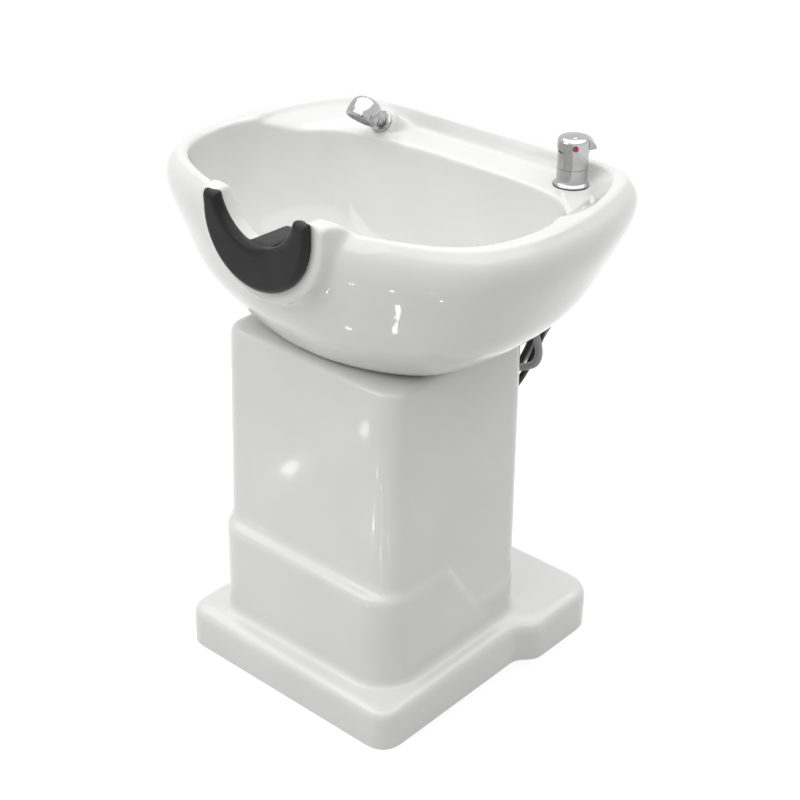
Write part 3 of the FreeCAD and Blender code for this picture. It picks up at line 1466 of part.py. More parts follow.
def make_shower():
    """Hand shower that hangs in the guide by the cone nut of its hose."""
    rest = S.guide_flange_height + S.bush_lip + S.running_gap
    named(cylinder("HoseEnd", S.shower_hose_radius, S.hose_end_length + rest,
                   **on_guide(-S.hose_end_length)), "shower_hose_end")
    named(turned("ConeNut",
                 [(0, 0), (S.cone_foot_radius, 0),
                  (S.cone_foot_radius, S.cone_length / 3.0),
                  (S.cone_top_radius, S.cone_length), (0, S.cone_length)],
                 **on_guide(rest)), "shower_cone_nut")
    gap = S.running_gap
    neck_foot = rest + S.cone_length + gap
    neck = cylinder("ShowerNeck", S.neck_stub_radius, S.head_reach + rest - neck_foot,
                    **on_guide(neck_foot))
    centre = on_guide(S.head_reach + rest)
    tilt = math.radians(S.guide_tilt.value)
    facing = Rotation(Vector(1, 0, 0), S.guide_tilt.value + 90.0)
    back = S.head_height - S.head_drop
    top = {"x": centre["x"], "y": centre["y"] + back * math.cos(tilt),
           "z": centre["z"] + back * math.sin(tilt), "rotation": facing}
    points = [(0, 0)]
    for index, (wide, deep, round_share) in enumerate(HEAD_SHARES):
        spot = (S.head_radius * wide, S.head_height * deep)
        bend = S.head_radius * round_share
        if not index:
            bend = dome_radius(spot[0], spot[1])
        points.append(spot + (bend, 1) if round_share else spot)
    points.append((0, S.head_height))
    head = turned("ShowerHead", points, **top)
    recess = dict(top)
    drop = S.head_height - S.face_depth
    recess["y"] = top["y"] - drop * math.cos(tilt)
    recess["z"] = top["z"] - drop * math.sin(tilt)
    pocket = cylinder("FacePocket", S.face_radius, S.face_depth + S.cut_overrun, **recess)
    named(cut("HandShower", fuse("ShowerShell", head, neck), pocket), "hand_shower")
    make_spray_face(recess)


def make_spray_face(where):
    """Plate of spray nozzles set in the head's face."""
    plate = cylinder("FacePlate", S.face_radius, S.face_depth, **where)
    holes = []
    count = int(S.face_nozzles.value)
    turn = where["rotation"]
    for number in range(count):
        angle = 2 * math.pi * number / count
        across = turn.multVec(Vector(math.cos(angle), math.sin(angle), 0))
        holes.append(cylinder("Nozzle{}".format(number), S.face_nozzle_radius,
                              S.face_depth * 2.0,
                              x=where["x"] + S.face_nozzle_ring * across.x,
                              y=where["y"] + S.face_nozzle_ring * across.y
                              + S.face_depth * turn.multVec(Vector(0, 0, 0.5)).y,
                              z=where["z"] + S.face_nozzle_ring * across.z
                              + S.face_depth * turn.multVec(Vector(0, 0, 0.5)).z,
                              rotation=turn))
    named(cut("SprayFace", plate, *holes), "spray_face")


# Hoses


def cord_tube(route, radius, name):
    """Tube along straight runs joined by arcs as large as each pair of runs allows."""
    spots = [Vector(*point) for point in route]
    edges = []
    radii = []
    here = spots[0]
    for before, spot, after in zip(spots, spots[1:], spots[2:]):
        back = before - spot
        ahead = after - spot
        turn = math.pi - back.getAngle(ahead)
        shorter = min(back.Length, ahead.Length)
        reach = 0.45 * shorter
        bend = reach / math.tan(turn / 2)
        radii.append(round(bend))
        back.normalize()
        ahead.normalize()
        start = spot + back * reach
        end = spot + ahead * reach
        middle = spot + (back + ahead).normalize() * (bend / math.cos(turn / 2) - bend)
        edges.append(Part.LineSegment(here, start).toShape())
        edges.append(Part.Arc(start, middle, end).toShape())
        here = end
    edges.append(Part.LineSegment(here, spots[-1]).toShape())
    path = Part.Wire(edges)
    circle = Part.makeCircle(radius, spots[0], spots[1] - spots[0])
    tube = path.makePipeShell([Part.Wire([circle])], True, False)
    expected = math.pi * radius ** 2 * path.Length
    print(name, "length", round(path.Length), "bend radii", radii,
          "volume share", round(tube.Volume / expected, 4))
    return tube


def make_hoses():
    """Two supply hoses and the shower hose, each along its own route."""
    supply = S.supply_hose_radius.value
    for label, route in (("hot_supply_hose", HOT_ROUTE), ("cold_supply_hose", COLD_ROUTE)):
        named(feature(label.title().replace("_", ""), cord_tube(route, supply, label)), label)
    tilt = math.radians(S.guide_tilt.value)
    length = S.hose_end_length.value
    exit_point = (S.guide_x.value, S.guide_y.value + length * math.sin(tilt),
                  S.guide_z.value - length * math.cos(tilt))
    lead = S.shower_hose_radius.value * 2.8
    bend_point = (exit_point[0], exit_point[1] + lead * math.sin(tilt),
                  exit_point[2] - lead * math.cos(tilt))
    print("shower hose leaves its guide at", exit_point)
    route = SHOWER_ROUTE + [bend_point, exit_point]
    tube = cord_tube(route, S.shower_hose_radius.value, "shower_hose")
    named(feature("ShowerHose", tube), "shower_hose")


def make_couplings():
    """Inlet couplings on the bracket, their locknuts and the hose nuts above."""
    y = S.post_rear
    locknuts = []
    for side, label in ((1.0, "hot"), (-1.0, "cold")):
        x = S.coupling_half_spacing * side
        length = S.coupling_top - S.coupling_foot
        shelf = S.bracket_height + S.bracket_thickness - S.coupling_foot
        collar = shelf + S.coupling_collar_height
        tail = S.bracket_height - S.coupling_nut_height - S.coupling_foot
        shank = S.coupling_shank_radius
        named(turned("Coupling_" + label,
                     [(S.coupling_bore_radius, 0), (S.coupling_radius, 0),
                      (S.coupling_radius, tail), (shank, tail), (shank, shelf),
                      (S.coupling_collar_radius, shelf),
                      (S.coupling_collar_radius, collar), (shank, collar),
                      (shank, length), (S.coupling_bore_radius, length)],
                     x=x, y=y, z=S.coupling_foot), label + "_inlet_coupling")
        nut_z = S.bracket_height - S.coupling_nut_height
        blank = hexagon("CouplingNutBlank_" + label, S.coupling_nut_radius,
                        S.coupling_nut_height, x=x, y=y, z=nut_z)
        bore = cylinder("CouplingNutBore_" + label, shank, S.coupling_nut_height,
                        x=x, y=y, z=nut_z)
        locknuts.append(cut("CouplingNut_" + label, blank, bore))
        top = S.coupling_top
        foot = top - S.hose_nut_overlap
        blank = hexagon("HoseNutBlank_" + label, S.hose_nut_radius, S.hose_nut_height,
                        x=x, y=y, z=foot)
        bore = cylinder("HoseNutBore_" + label, shank, S.hose_nut_overlap, x=x, y=y,
                        z=foot)
        named(cut("HoseNut_" + label, blank, bore), label + "_hose_nut")
    named(group("CouplingNuts", *locknuts), "coupling_locknuts")


def check_document():
    """Stop if any object failed or any sub-part has no sound solid."""
    document.recompute()
    for item in document.Objects:
        if "Invalid" in item.State or "Error" in item.State:
            raise RuntimeError("failed object: {} {}".format(item.Name, item.State))
    for item in PIECES:
        if item.Shape.isNull() or not item.Shape.isValid() or not item.Shape.Solids:
            raise RuntimeError("unsound sub-part: " + item.Label)


def write_parts():
    """Write each sub-part to its own file."""
    os.makedirs("parts", exist_ok=True)
    for item in PIECES:
        item.Shape.exportStep("parts/{}.step".format(item.Label))


make_casing()
make_panel()
make_frame()
make_bracket()
make_seat_gasket()
make_bowl()
make_studs()
make_neck_rest()
make_waste()
make_mixer()
make_guide()
make_shower()
make_hoses()
make_couplings()
check_document()
write_parts()
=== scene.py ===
"""Looks of a salon backwash basin on its moulded pedestal, in metres.

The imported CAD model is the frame: every piece stands where its node stands.
"""

import logging
import math
from dataclasses import dataclass
from enum import Enum
from typing import Optional, Sequence

import bpy
from mathutils import Matrix, Vector


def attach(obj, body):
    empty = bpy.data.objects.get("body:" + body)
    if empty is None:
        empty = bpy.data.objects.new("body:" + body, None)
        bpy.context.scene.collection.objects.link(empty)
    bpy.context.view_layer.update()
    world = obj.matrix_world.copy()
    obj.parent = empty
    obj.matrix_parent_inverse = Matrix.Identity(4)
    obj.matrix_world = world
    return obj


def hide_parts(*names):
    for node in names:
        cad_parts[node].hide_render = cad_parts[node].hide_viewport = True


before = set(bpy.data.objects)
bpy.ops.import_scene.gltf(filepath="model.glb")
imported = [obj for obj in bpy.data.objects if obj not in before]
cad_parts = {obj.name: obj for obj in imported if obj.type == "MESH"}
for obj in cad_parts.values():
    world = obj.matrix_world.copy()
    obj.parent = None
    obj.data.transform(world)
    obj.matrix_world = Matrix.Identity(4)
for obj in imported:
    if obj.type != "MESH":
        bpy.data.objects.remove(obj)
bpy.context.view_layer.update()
log = logging.getLogger("backwash_basin")

Colour = tuple[float, float, float]
Point = tuple[float, float, float]

STAND = "basin_stand"
TOUCHING = 0.00001
FINE_PER_BROAD = 9.0
MOTTLE_FROM, MOTTLE_TO = 0.32, 0.68
RUB_FROM, RUB_TO = 0.995, 0.86


# Tools of the bench
def deselect() -> None:
    """Leaves nothing selected, so that an operator touches only its own piece."""
    if bpy.context.mode != "OBJECT":
        bpy.ops.object.mode_set(mode="OBJECT")
    bpy.ops.object.select_all(action="DESELECT")


def pick(piece: bpy.types.Object) -> None:
    """Makes a piece the only selected and the active one.

    Args:
        piece: the piece to work on.
    """
    deselect()
    piece.select_set(True)
    bpy.context.view_layer.objects.active = piece


def modify(piece: bpy.types.Object, kind: str, **settings: object) -> None:
    """Adds a modifier with its settings and applies it.

    Args:
        piece: the piece that is shaped.
        kind: the modifier's type.
        settings: the modifier's own properties.
    """
    pick(piece)
    made = piece.modifiers.new(kind.title(), kind)
    for name, value in settings.items():
        setattr(made, name, value)
    bpy.ops.object.modifier_apply(modifier=made.name)


def settle(piece: bpy.types.Object, name: str) -> bpy.types.Object:
    """Names a finished piece and puts its place into its mesh.

    Args:
        piece: the finished piece.
        name: the piece's name.

    Returns:
        The same piece, at the origin, unturned and unscaled.
    """
    pick(piece)
    bpy.ops.object.transform_apply(location=True, rotation=True, scale=True)
    piece.name = name
    piece.data.name = name
    return piece


def pick_faces(piece: bpy.types.Object, numbers: Sequence[int]) -> None:
    """Opens a piece for editing with only some of its faces selected.

    Args:
        piece: the piece.
        numbers: the faces' numbers.
    """
    pick(piece)
    bpy.ops.object.mode_set(mode="EDIT")
    bpy.ops.mesh.select_mode(type="FACE")
    bpy.ops.mesh.select_all(action="DESELECT")
    bpy.ops.object.mode_set(mode="OBJECT")
    for number in numbers:
        piece.data.polygons[number].select = True
    bpy.ops.object.mode_set(mode="EDIT")


def pick_edges(piece: bpy.types.Object, numbers: Sequence[int]) -> None:
    """Opens a piece for editing with only some of its edges selected.

    Args:
        piece: the piece.
        numbers: the edges' numbers.
    """
    pick(piece)
    bpy.ops.object.mode_set(mode="EDIT")
    bpy.ops.mesh.select_mode(type="EDGE")
    bpy.ops.mesh.select_all(action="DESELECT")
    bpy.ops.object.mode_set(mode="OBJECT")
    for number in numbers:
        piece.data.edges[number].select = True
    bpy.ops.object.mode_set(mode="EDIT")


def merged_copy(node: str, name: str) -> bpy.types.Object:
    """Copies a CAD node and joins its loose triangles into one skin.

    Args:
        node: the CAD node's name.
        name: the new piece's name.

    Returns:
        The copy, ready to be reworked.
    """
    piece = bpy.data.objects.new(name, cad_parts[node].data.copy())
    bpy.context.scene.collection.objects.link(piece)
    piece.data.name = name
    pick(piece)
    bpy.ops.mesh.customdata_custom_splitnormals_clear()
    bpy.ops.object.mode_set(mode="EDIT")
    bpy.ops.mesh.select_all(action="SELECT")
    bpy.ops.mesh.remove_doubles(threshold=TOUCHING)
    bpy.ops.object.mode_set(mode="OBJECT")
    return piece


# Shared effects
def add_node(tree: bpy.types.NodeTree, kind: str, **inputs: object) -> bpy.types.Node:
    """Adds a node and sets its input values by name.

    Args:
        tree: the node tree.
        kind: the node's type.
        inputs: values for sockets, with spaces written as underscores.

    Returns:
        The new node.
    """
    made = tree.nodes.new(kind)
    for name, value in inputs.items():
        made.inputs[name.replace("_", " ")].default_value = value
    return made


def group_sockets(group: bpy.types.NodeTree, takes: dict[str, float],
                  gives: Sequence[str]) -> tuple[bpy.types.Node, bpy.types.Node]:
    """Declares a group's sockets and adds the nodes that carry them.

    Args:
        group: the node group.
        takes: names and standard values of the number inputs.
        gives: names of the number outputs.

    Returns:
        The input node and the output node.
    """
    group.interface.new_socket("Place", in_out="INPUT", socket_type="NodeSocketVector")
    for name, value in takes.items():
        socket = group.interface.new_socket(name, in_out="INPUT", socket_type="NodeSocketFloat")
        socket.default_value = value
    for name in gives:
        group.interface.new_socket(name, in_out="OUTPUT", socket_type="NodeSocketFloat")
    return group.nodes.new("NodeGroupInput"), group.nodes.new("NodeGroupOutput")


def mottle_group() -> bpy.types.NodeTree:
    """Builds the soft unevenness of glaze, paint and plating.

    Returns:
        The node group, with a broad and a fine mask.
    """
    group = bpy.data.node_groups.new("soft_mottle", "ShaderNodeTree")
    takes, gives = group_sockets(group, {"Scale": 8.0, "Fine Scale": 90.0}, ["Broad", "Fine"])
    for output, scale, detail in (("Broad", "Scale", 3.0), ("Fine", "Fine Scale", 5.0)):
        noise = add_node(group, "ShaderNodeTexNoise", Detail=detail, Roughness=0.55)
        stretch = group.nodes.new("ShaderNodeMapRange")
        stretch.interpolation_type = "SMOOTHSTEP"
        stretch.inputs["From Min"].default_value = MOTTLE_FROM
        stretch.inputs["From Max"].default_value = MOTTLE_TO
        group.links.new(takes.outputs["Place"], noise.inputs["Vector"])
        group.links.new(takes.outputs[scale], noise.inputs["Scale"])
        group.links.new(noise.outputs["Fac"], stretch.inputs["Value"])
        group.links.new(stretch.outputs["Result"], gives.inputs[output])
    return group


def grain_group() -> bpy.types.NodeTree:
    """Builds the fine skin of moulded and sprayed surfaces.

    Returns:
        The node group, whose height is a mix of pits and ripples.
    """
    group = bpy.data.node_groups.new("moulded_grain", "ShaderNodeTree")
    takes, gives = group_sockets(group, {"Scale": 900.0, "Ripple Scale": 60.0, "Pits": 0.5}, ["Height"])
    pits = group.nodes.new("ShaderNodeTexVoronoi")
    pits.feature = "SMOOTH_F1"
    pits.inputs["Smoothness"].default_value = 0.6
    ripple = add_node(group, "ShaderNodeTexNoise", Detail=2.0)
    mix = group.nodes.new("ShaderNodeMix")
    for texture, scale in ((pits, "Scale"), (ripple, "Ripple Scale")):
        group.links.new(takes.outputs["Place"], texture.inputs["Vector"])
        group.links.new(takes.outputs[scale], texture.inputs["Scale"])
    group.links.new(takes.outputs["Pits"], mix.inputs["Factor"])
    group.links.new(ripple.outputs["Fac"], mix.inputs["A"])
    group.links.new(pits.outputs["Distance"], mix.inputs["B"])
    group.links.new(mix.outputs["Result"], gives.inputs["Height"])
    return group


def edge_group() -> bpy.types.NodeTree:
    """Builds the rub marks along a piece's edges.

    Returns:
        The node group, whose mask is high on worn edges.
    """
    group = bpy.data.node_groups.new("edge_rub", "ShaderNodeTree")
    takes, gives = group_sockets(group, {"Radius": 0.001, "Break Up": 200.0}, ["Edge"])
    bevel = group.nodes.new("ShaderNodeBevel")
    bevel.samples = 4
    flat = group.nodes.new("ShaderNodeNewGeometry")
    dot = group.nodes.new("ShaderNodeVectorMath")
    dot.operation = "DOT_PRODUCT"
    reach = group.nodes.new("ShaderNodeMapRange")
    reach.inputs["From Min"].default_value = RUB_FROM
    reach.inputs["From Max"].default_value = RUB_TO
    noise = add_node(group, "ShaderNodeTexNoise", Detail=4.0)
    worn = group.nodes.new("ShaderNodeMath")
    worn.operation = "MULTIPLY"
    group.links.new(takes.outputs["Radius"], bevel.inputs["Radius"])
    group.links.new(bevel.outputs["Normal"], dot.inputs[0])
    group.links.new(flat.outputs["Normal"], dot.inputs[1])
    group.links.new(dot.outputs["Value"], reach.inputs["Value"])
    group.links.new(takes.outputs["Place"], noise.inputs["Vector"])
    group.links.new(takes.outputs["Break Up"], noise.inputs["Scale"])
    group.links.new(reach.outputs["Result"], worn.inputs[0])
    group.links.new(noise.outputs["Fac"], worn.inputs[1])
    group.links.new(worn.outputs["Value"], gives.inputs["Edge"])
    return group


MOTTLE = mottle_group()
GRAIN = grain_group()
EDGE = edge_group()


# Finishes
@dataclass(frozen=True)
class Finish:
    """One surface finish and how uneven it is.

    Attributes:
        slot: the record's material slot.
        colour: colour where the surface is clean.
        shade: colour of its duller places.
        roughness: lowest and highest roughness.
        metallic: 1 for bare metal.
        coat: weight of a clear skin such as glaze.
        coat_roughness: roughness of that skin.
        mottle: scale of the unevenness, in turns per metre.
        grain: scale of the fine skin, in turns per metre.
        ripple: scale of its slow waves.
        pits: share of pits in the fine skin.
        depth: height of the fine skin, in metres.
        rub: colour that shows on worn edges, or none.
        specular: strength of the sheen of a dielectric.
    """

    slot: str
    colour: Colour
    shade: Colour
    roughness: tuple[float, float]
    metallic: float = 0.0
    coat: float = 0.0
    coat_roughness: float = 0.03
    mottle: float = 8.0
    grain: float = 900.0
    ripple: float = 60.0
    pits: float = 0.5
    depth: float = 0.00002
    rub: Optional[Colour] = None
    specular: float = 0.5

    def make(self) -> bpy.types.Material:
        """Builds the material.

        Returns:
            The finished material, on Object coordinates.
        """
        material = bpy.data.materials.new(self.slot)
        material.use_nodes = True
        tree = material.node_tree
        shader = tree.nodes["Principled BSDF"]
        shader.inputs["Metallic"].default_value = self.metallic
        shader.inputs["Coat Weight"].default_value = self.coat
        shader.inputs["Coat Roughness"].default_value = self.coat_roughness
        shader.inputs["Specular IOR Level"].default_value = self.specular
        place = tree.nodes.new("ShaderNodeTexCoord").outputs["Object"]

        uneven = tree.nodes.new("ShaderNodeGroup")
        uneven.node_tree = MOTTLE
        uneven.inputs["Scale"].default_value = self.mottle
        uneven.inputs["Fine Scale"].default_value = self.mottle * FINE_PER_BROAD
        tree.links.new(place, uneven.inputs["Place"])
        tint = tree.nodes.new("ShaderNodeMix")
        tint.data_type = "RGBA"
        tint.inputs["A"].default_value = (*self.colour, 1.0)
        tint.inputs["B"].default_value = (*self.shade, 1.0)
        tree.links.new(uneven.outputs["Broad"], tint.inputs["Factor"])
        colour = tint.outputs["Result"]

        if self.rub is not None:
            worn = tree.nodes.new("ShaderNodeGroup")
            worn.node_tree = EDGE
            tree.links.new(place, worn.inputs["Place"])
            bare = tree.nodes.new("ShaderNodeMix")
            bare.data_type = "RGBA"
            bare.inputs["B"].default_value = (*self.rub, 1.0)
            tree.links.new(worn.outputs["Edge"], bare.inputs["Factor"])
            tree.links.new(colour, bare.inputs["A"])
            colour = bare.outputs["Result"]
        tree.links.new(colour, shader.inputs["Base Color"])

        sheen = tree.nodes.new("ShaderNodeMapRange")
        sheen.inputs["To Min"].default_value = self.roughness[0]
        sheen.inputs["To Max"].default_value = self.roughness[1]
        tree.links.new(uneven.outputs["Fine"], sheen.inputs["Value"])
        tree.links.new(sheen.outputs["Result"], shader.inputs["Roughness"])

        skin = tree.nodes.new("ShaderNodeGroup")
        skin.node_tree = GRAIN
        skin.inputs["Scale"].default_value = self.grain
        skin.inputs["Ripple Scale"].default_value = self.ripple
        skin.inputs["Pits"].default_value = self.pits
        tree.links.new(place, skin.inputs["Place"])
        bump = tree.nodes.new("ShaderNodeBump")
        bump.inputs["Distance"].default_value = self.depth
        tree.links.new(skin.outputs["Height"], bump.inputs["Height"])
        tree.links.new(bump.outputs["Normal"], shader.inputs["Normal"])
        return material


class Look(Enum):
    """The finishes of the basin, by what they are."""

    GLAZE = Finish("ceramic", (0.80, 0.80, 0.785), (0.765, 0.765, 0.75), (0.10, 0.16), coat=0.7,
                   coat_roughness=0.02, specular=0.15, mottle=5.0, grain=500.0, ripple=14.0,
                   pits=0.04, depth=0.00035)
    GELCOAT = Finish("casing", (0.755, 0.76, 0.745), (0.72, 0.725, 0.71), (0.16, 0.26), coat=0.35,
                     coat_roughness=0.05, mottle=4.0, grain=420.0, ripple=18.0, pits=0.08, depth=0.00025)
    RUBBER = Finish("rubber_black", (0.009, 0.009, 0.0095), (0.015, 0.015, 0.016), (0.28, 0.38),
                    specular=0.22, mottle=14.0, grain=1400.0, ripple=90.0, pits=0.7, depth=0.00006)
    CHROME = Finish("chrome", (0.50, 0.50, 0.505), (0.42, 0.42, 0.43), (0.04, 0.10), metallic=1.0,
                    mottle=30.0, grain=1500.0, ripple=120.0, pits=0.2, depth=0.00001)
    BRASS = Finish("brass", (0.62, 0.43, 0.18), (0.48, 0.33, 0.15), (0.22, 0.38), metallic=1.0,
                   mottle=40.0, grain=1200.0, pits=0.5, depth=0.00003)
    STEEL = Finish("steel", (0.55, 0.56, 0.57), (0.42, 0.43, 0.42), (0.26, 0.42), metallic=1.0,
                   mottle=50.0, grain=1400.0, pits=0.6, depth=0.00003)
    PAINT = Finish("steel_painted", (0.09, 0.095, 0.10), (0.07, 0.073, 0.078), (0.45, 0.6),
                   mottle=12.0, grain=1100.0, pits=0.8, depth=0.00008, rub=(0.35, 0.34, 0.33))
    PLASTIC_GREY = Finish("plastic_grey", (0.20, 0.205, 0.21), (0.17, 0.175, 0.18), (0.38, 0.5),
                          mottle=20.0, grain=1300.0, pits=0.7, depth=0.00005)
    PLASTIC_WHITE = Finish("plastic_white", (0.66, 0.66, 0.64), (0.60, 0.60, 0.575), (0.30, 0.42),
                           mottle=16.0, grain=900.0, pits=0.4, depth=0.00004)
    MARK_RED = Finish("mark_red", (0.42, 0.012, 0.03), (0.30, 0.01, 0.02), (0.18, 0.28), coat=0.5,
                      mottle=120.0, grain=2500.0, pits=0.3, depth=0.00001)
    MARK_BLUE = Finish("mark_blue", (0.012, 0.06, 0.40), (0.01, 0.045, 0.30), (0.18, 0.28), coat=0.5,
                       mottle=120.0, grain=2500.0, pits=0.3, depth=0.00001)
    HOSE_BLACK = Finish("hose_black", (0.014, 0.014, 0.015), (0.022, 0.022, 0.023), (0.22, 0.34),
                        mottle=40.0, grain=1800.0, ripple=300.0, pits=0.4, depth=0.00005)
    HOSE_GREY = Finish("hose_grey", (0.36, 0.365, 0.36), (0.31, 0.315, 0.31), (0.26, 0.38),
                       mottle=40.0, grain=1800.0, ripple=300.0, pits=0.4, depth=0.00005)


MATERIALS = {look: look.value.make() for look in Look}
BY_SLOT = {look.value.slot: material for look, material in MATERIALS.items()}


def dress(piece: bpy.types.Object, look: Look, stands_for: Sequence[str]) -> bpy.types.Object:
    """Gives a new piece its finish, its body and the CAD nodes that it stands for.

    Args:
        piece: the finished piece.
        look: its finish.
        stands_for: the CAD nodes that it replaces.

    Returns:
        The same piece.
    """
    piece.data.materials.clear()
    piece.data.materials.append(MATERIALS[look])
    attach(piece, STAND)
    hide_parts(*stands_for)
    log.info("piece %s, finish %s", piece.name, look.value.slot)
    return piece


# Pieces
@dataclass
class Bowl:
    """The glazed ceramic bowl, with every edge softened as slip-cast ware is.

    Attributes:
        voxel: grid of the new skin.
        passes: how often the whole skin is relaxed.
        more: further passes for what lies below the rim.
        crisp: height over which the rim keeps its own roundness.
        lip: half width and front of the neck opening's soft shoulders.
        relax: strength of each pass.
        keep: share of the faces that the plain stretches keep.
    """

    voxel: float = 0.0037
    passes: int = 3
    more: int = 8
    crisp: float = 0.822
    lip: tuple[float, float] = (0.135, -0.17)
    relax: float = 0.5
    keep: float = 0.7

    def build(self) -> bpy.types.Object:
        """Reworks the bowl into one soft skin.

        Returns:
            The bowl as one closed piece.
        """
        piece = merged_copy("bowl", "glazed_bowl")
        modify(piece, "REMESH", mode="VOXEL", voxel_size=self.voxel)
        modify(piece, "SMOOTH", factor=self.relax, iterations=self.passes)
        below_rim = piece.vertex_groups.new(name="below_rim")
        wide, front = self.lip
        soft = [vertex.index for vertex in piece.data.vertices
                if vertex.co.z < self.crisp or (abs(vertex.co.x) < wide and vertex.co.y < front)]
        below_rim.add(soft, 1.0, "REPLACE")
        modify(piece, "SMOOTH", factor=self.relax, iterations=self.more,
               vertex_group="below_rim")
        piece.vertex_groups.clear()
        modify(piece, "DECIMATE", ratio=self.keep)
        pick(piece)
        bpy.ops.object.shade_smooth()
        return settle(piece, "glazed_bowl")

    def dress(self) -> None:
        """Builds and glazes the bowl."""
        dress(self.build(), Look.GLAZE, stands_for=["bowl"])


@dataclass
class Pedestal:
    """The moulded casing, whose steps run into each other in soft fillets.

    Attributes:
        voxel: grid of the new skin.
        passes: how often the skin is relaxed.
        relax: strength of each pass.
        keep: share of the faces that the flat stretches keep.
        wall: thickness of the moulding.
        below: how far the form is drawn out under the floor before it is cut off.
        opening: left, low and right, high corner of the service opening behind.
        corner: radius of the opening's corners.
        segments: faces round each corner.
        turned_in: depth of the opening's turned-in edge.
        stud_holes: radius round the axis that holds the holes in the casing's top.
        near_floor: height under which a face is the casing's foot.
        level: least upward share of a level face's direction.
        upright: most upward share of an upright face's direction.
        square_on: least rearward share of the opening's back face.
        crease: sharpest angle that is shaded round, in degrees.
    """

    voxel: float = 0.0042
    passes: int = 22
    relax: float = 0.5
    keep: float = 0.45
    wall: float = 0.005
    below: float = 0.03
    opening: tuple[float, float, float, float] = (-0.088, 0.160, 0.088, 0.478)
    corner: float = 0.010
    segments: int = 6
    turned_in: float = 0.012
    stud_holes: float = 0.13
    near_floor: float = 0.0001
    level: float = 0.5
    upright: float = 0.3
    square_on: float = 0.99
    crease: float = 38.0

    def outer_solid(self) -> bpy.types.Object:
        """Takes the casing's outer skin and closes it below the floor.

        Returns:
            The closed outer form.
        """
        piece = merged_copy("pedestal_casing", "moulded_pedestal")
        mesh = piece.data
        top = max(corner[2] for corner in piece.bound_box)
        near_top = top - 2.0 * self.wall
        inner = []
        for face in mesh.polygons:
            spot, way = face.center, face.normal
            sideways = way.x * spot.x + way.y * spot.y > 0.0
            covered = piece.ray_cast(spot + way * self.near_floor, way)[0]
            upward = way.z > self.level and not covered
            in_hole = (spot.z > near_top and abs(way.z) < self.upright
                       and math.hypot(spot.x, spot.y) < self.stud_holes)
            outer = (upward or (abs(way.z) <= self.level and sideways)) and not in_hole
            if not outer:
                inner.append(face.index)
        pick_faces(piece, inner)
        bpy.ops.mesh.delete(type="FACE")
        bpy.ops.mesh.select_all(action="SELECT")
        bpy.ops.mesh.fill_holes(sides=0)
        bpy.ops.object.mode_set(mode="OBJECT")
        low = [face.index for face in piece.data.polygons if face.center.z < self.near_floor]
        pick_faces(piece, low)
        bpy.ops.mesh.extrude_region_move(TRANSFORM_OT_translate={"value": (0.0, 0.0, -self.below)})
        bpy.ops.object.mode_set(mode="OBJECT")
        return piece

    def opening_block(self, rear: float) -> bpy.types.Object:
        """Makes the block that cuts the service opening.

        Args:
            rear: where the casing's rear face lies.

        Returns:
            The block, rounded at its four long edges.
        """
        left, low, right, high = self.opening
        deselect()
        middle = ((left + right) / 2.0, rear, (low + high) / 2.0)
        bpy.ops.mesh.primitive_cube_add(size=1.0, location=middle)
        block = bpy.context.object
        block.scale = (right - left, 2.0 * self.turned_in, high - low)
        bpy.ops.object.transform_apply(location=True, rotation=True, scale=True)
        long_edges = [edge.index for edge in block.data.edges
                      if abs(block.data.vertices[edge.vertices[0]].co.y
                             - block.data.vertices[edge.vertices[1]].co.y) > self.turned_in]
        pick_edges(block, long_edges)
        bpy.ops.mesh.bevel(offset=self.corner, segments=self.segments, affect="EDGES")
        bpy.ops.object.mode_set(mode="OBJECT")
        return block

    def build(self) -> bpy.types.Object:
        """Softens the outer form, cuts it open and gives it its wall.

        Returns:
            The casing as one moulding.
        """
        piece = self.outer_solid()
        rear = max(vertex.co.y for vertex in piece.data.vertices if vertex.co.z > self.opening[3])
        modify(piece, "REMESH", mode="VOXEL", voxel_size=self.voxel)
        modify(piece, "SMOOTH", factor=self.relax, iterations=self.passes)
        block = self.opening_block(rear)
        modify(piece, "BOOLEAN", operation="DIFFERENCE", object=block, solver="EXACT")
        bpy.data.objects.remove(block)
        pick(piece)
        bpy.ops.object.mode_set(mode="EDIT")
        bpy.ops.mesh.select_all(action="SELECT")
        bpy.ops.mesh.bisect(plane_co=(0.0, 0.0, 0.0), plane_no=(0.0, 0.0, 1.0), clear_inner=True)
        bpy.ops.object.mode_set(mode="OBJECT")
        deep = rear - self.turned_in
        near = 0.1 * self.wall
        back = [face.index for face in piece.data.polygons
                if abs(face.center.y - deep) < near and abs(face.normal.y) > self.square_on
                and self.opening[0] < face.center.x < self.opening[2]
                and self.opening[1] < face.center.z < self.opening[3]]
        pick_faces(piece, back)
        bpy.ops.mesh.delete(type="FACE")
        bpy.ops.object.mode_set(mode="OBJECT")
        modify(piece, "DECIMATE", ratio=self.keep)
        modify(piece, "SOLIDIFY", thickness=self.wall, offset=-1.0)
        pick(piece)
        bpy.ops.object.shade_smooth_by_angle(angle=math.radians(self.crease))
        return settle(piece, "moulded_pedestal")

    def dress(self) -> None:
        """Builds the pedestal and gives it its gelcoat."""
        dress(self.build(), Look.GELCOAT, stands_for=["pedestal_casing"])


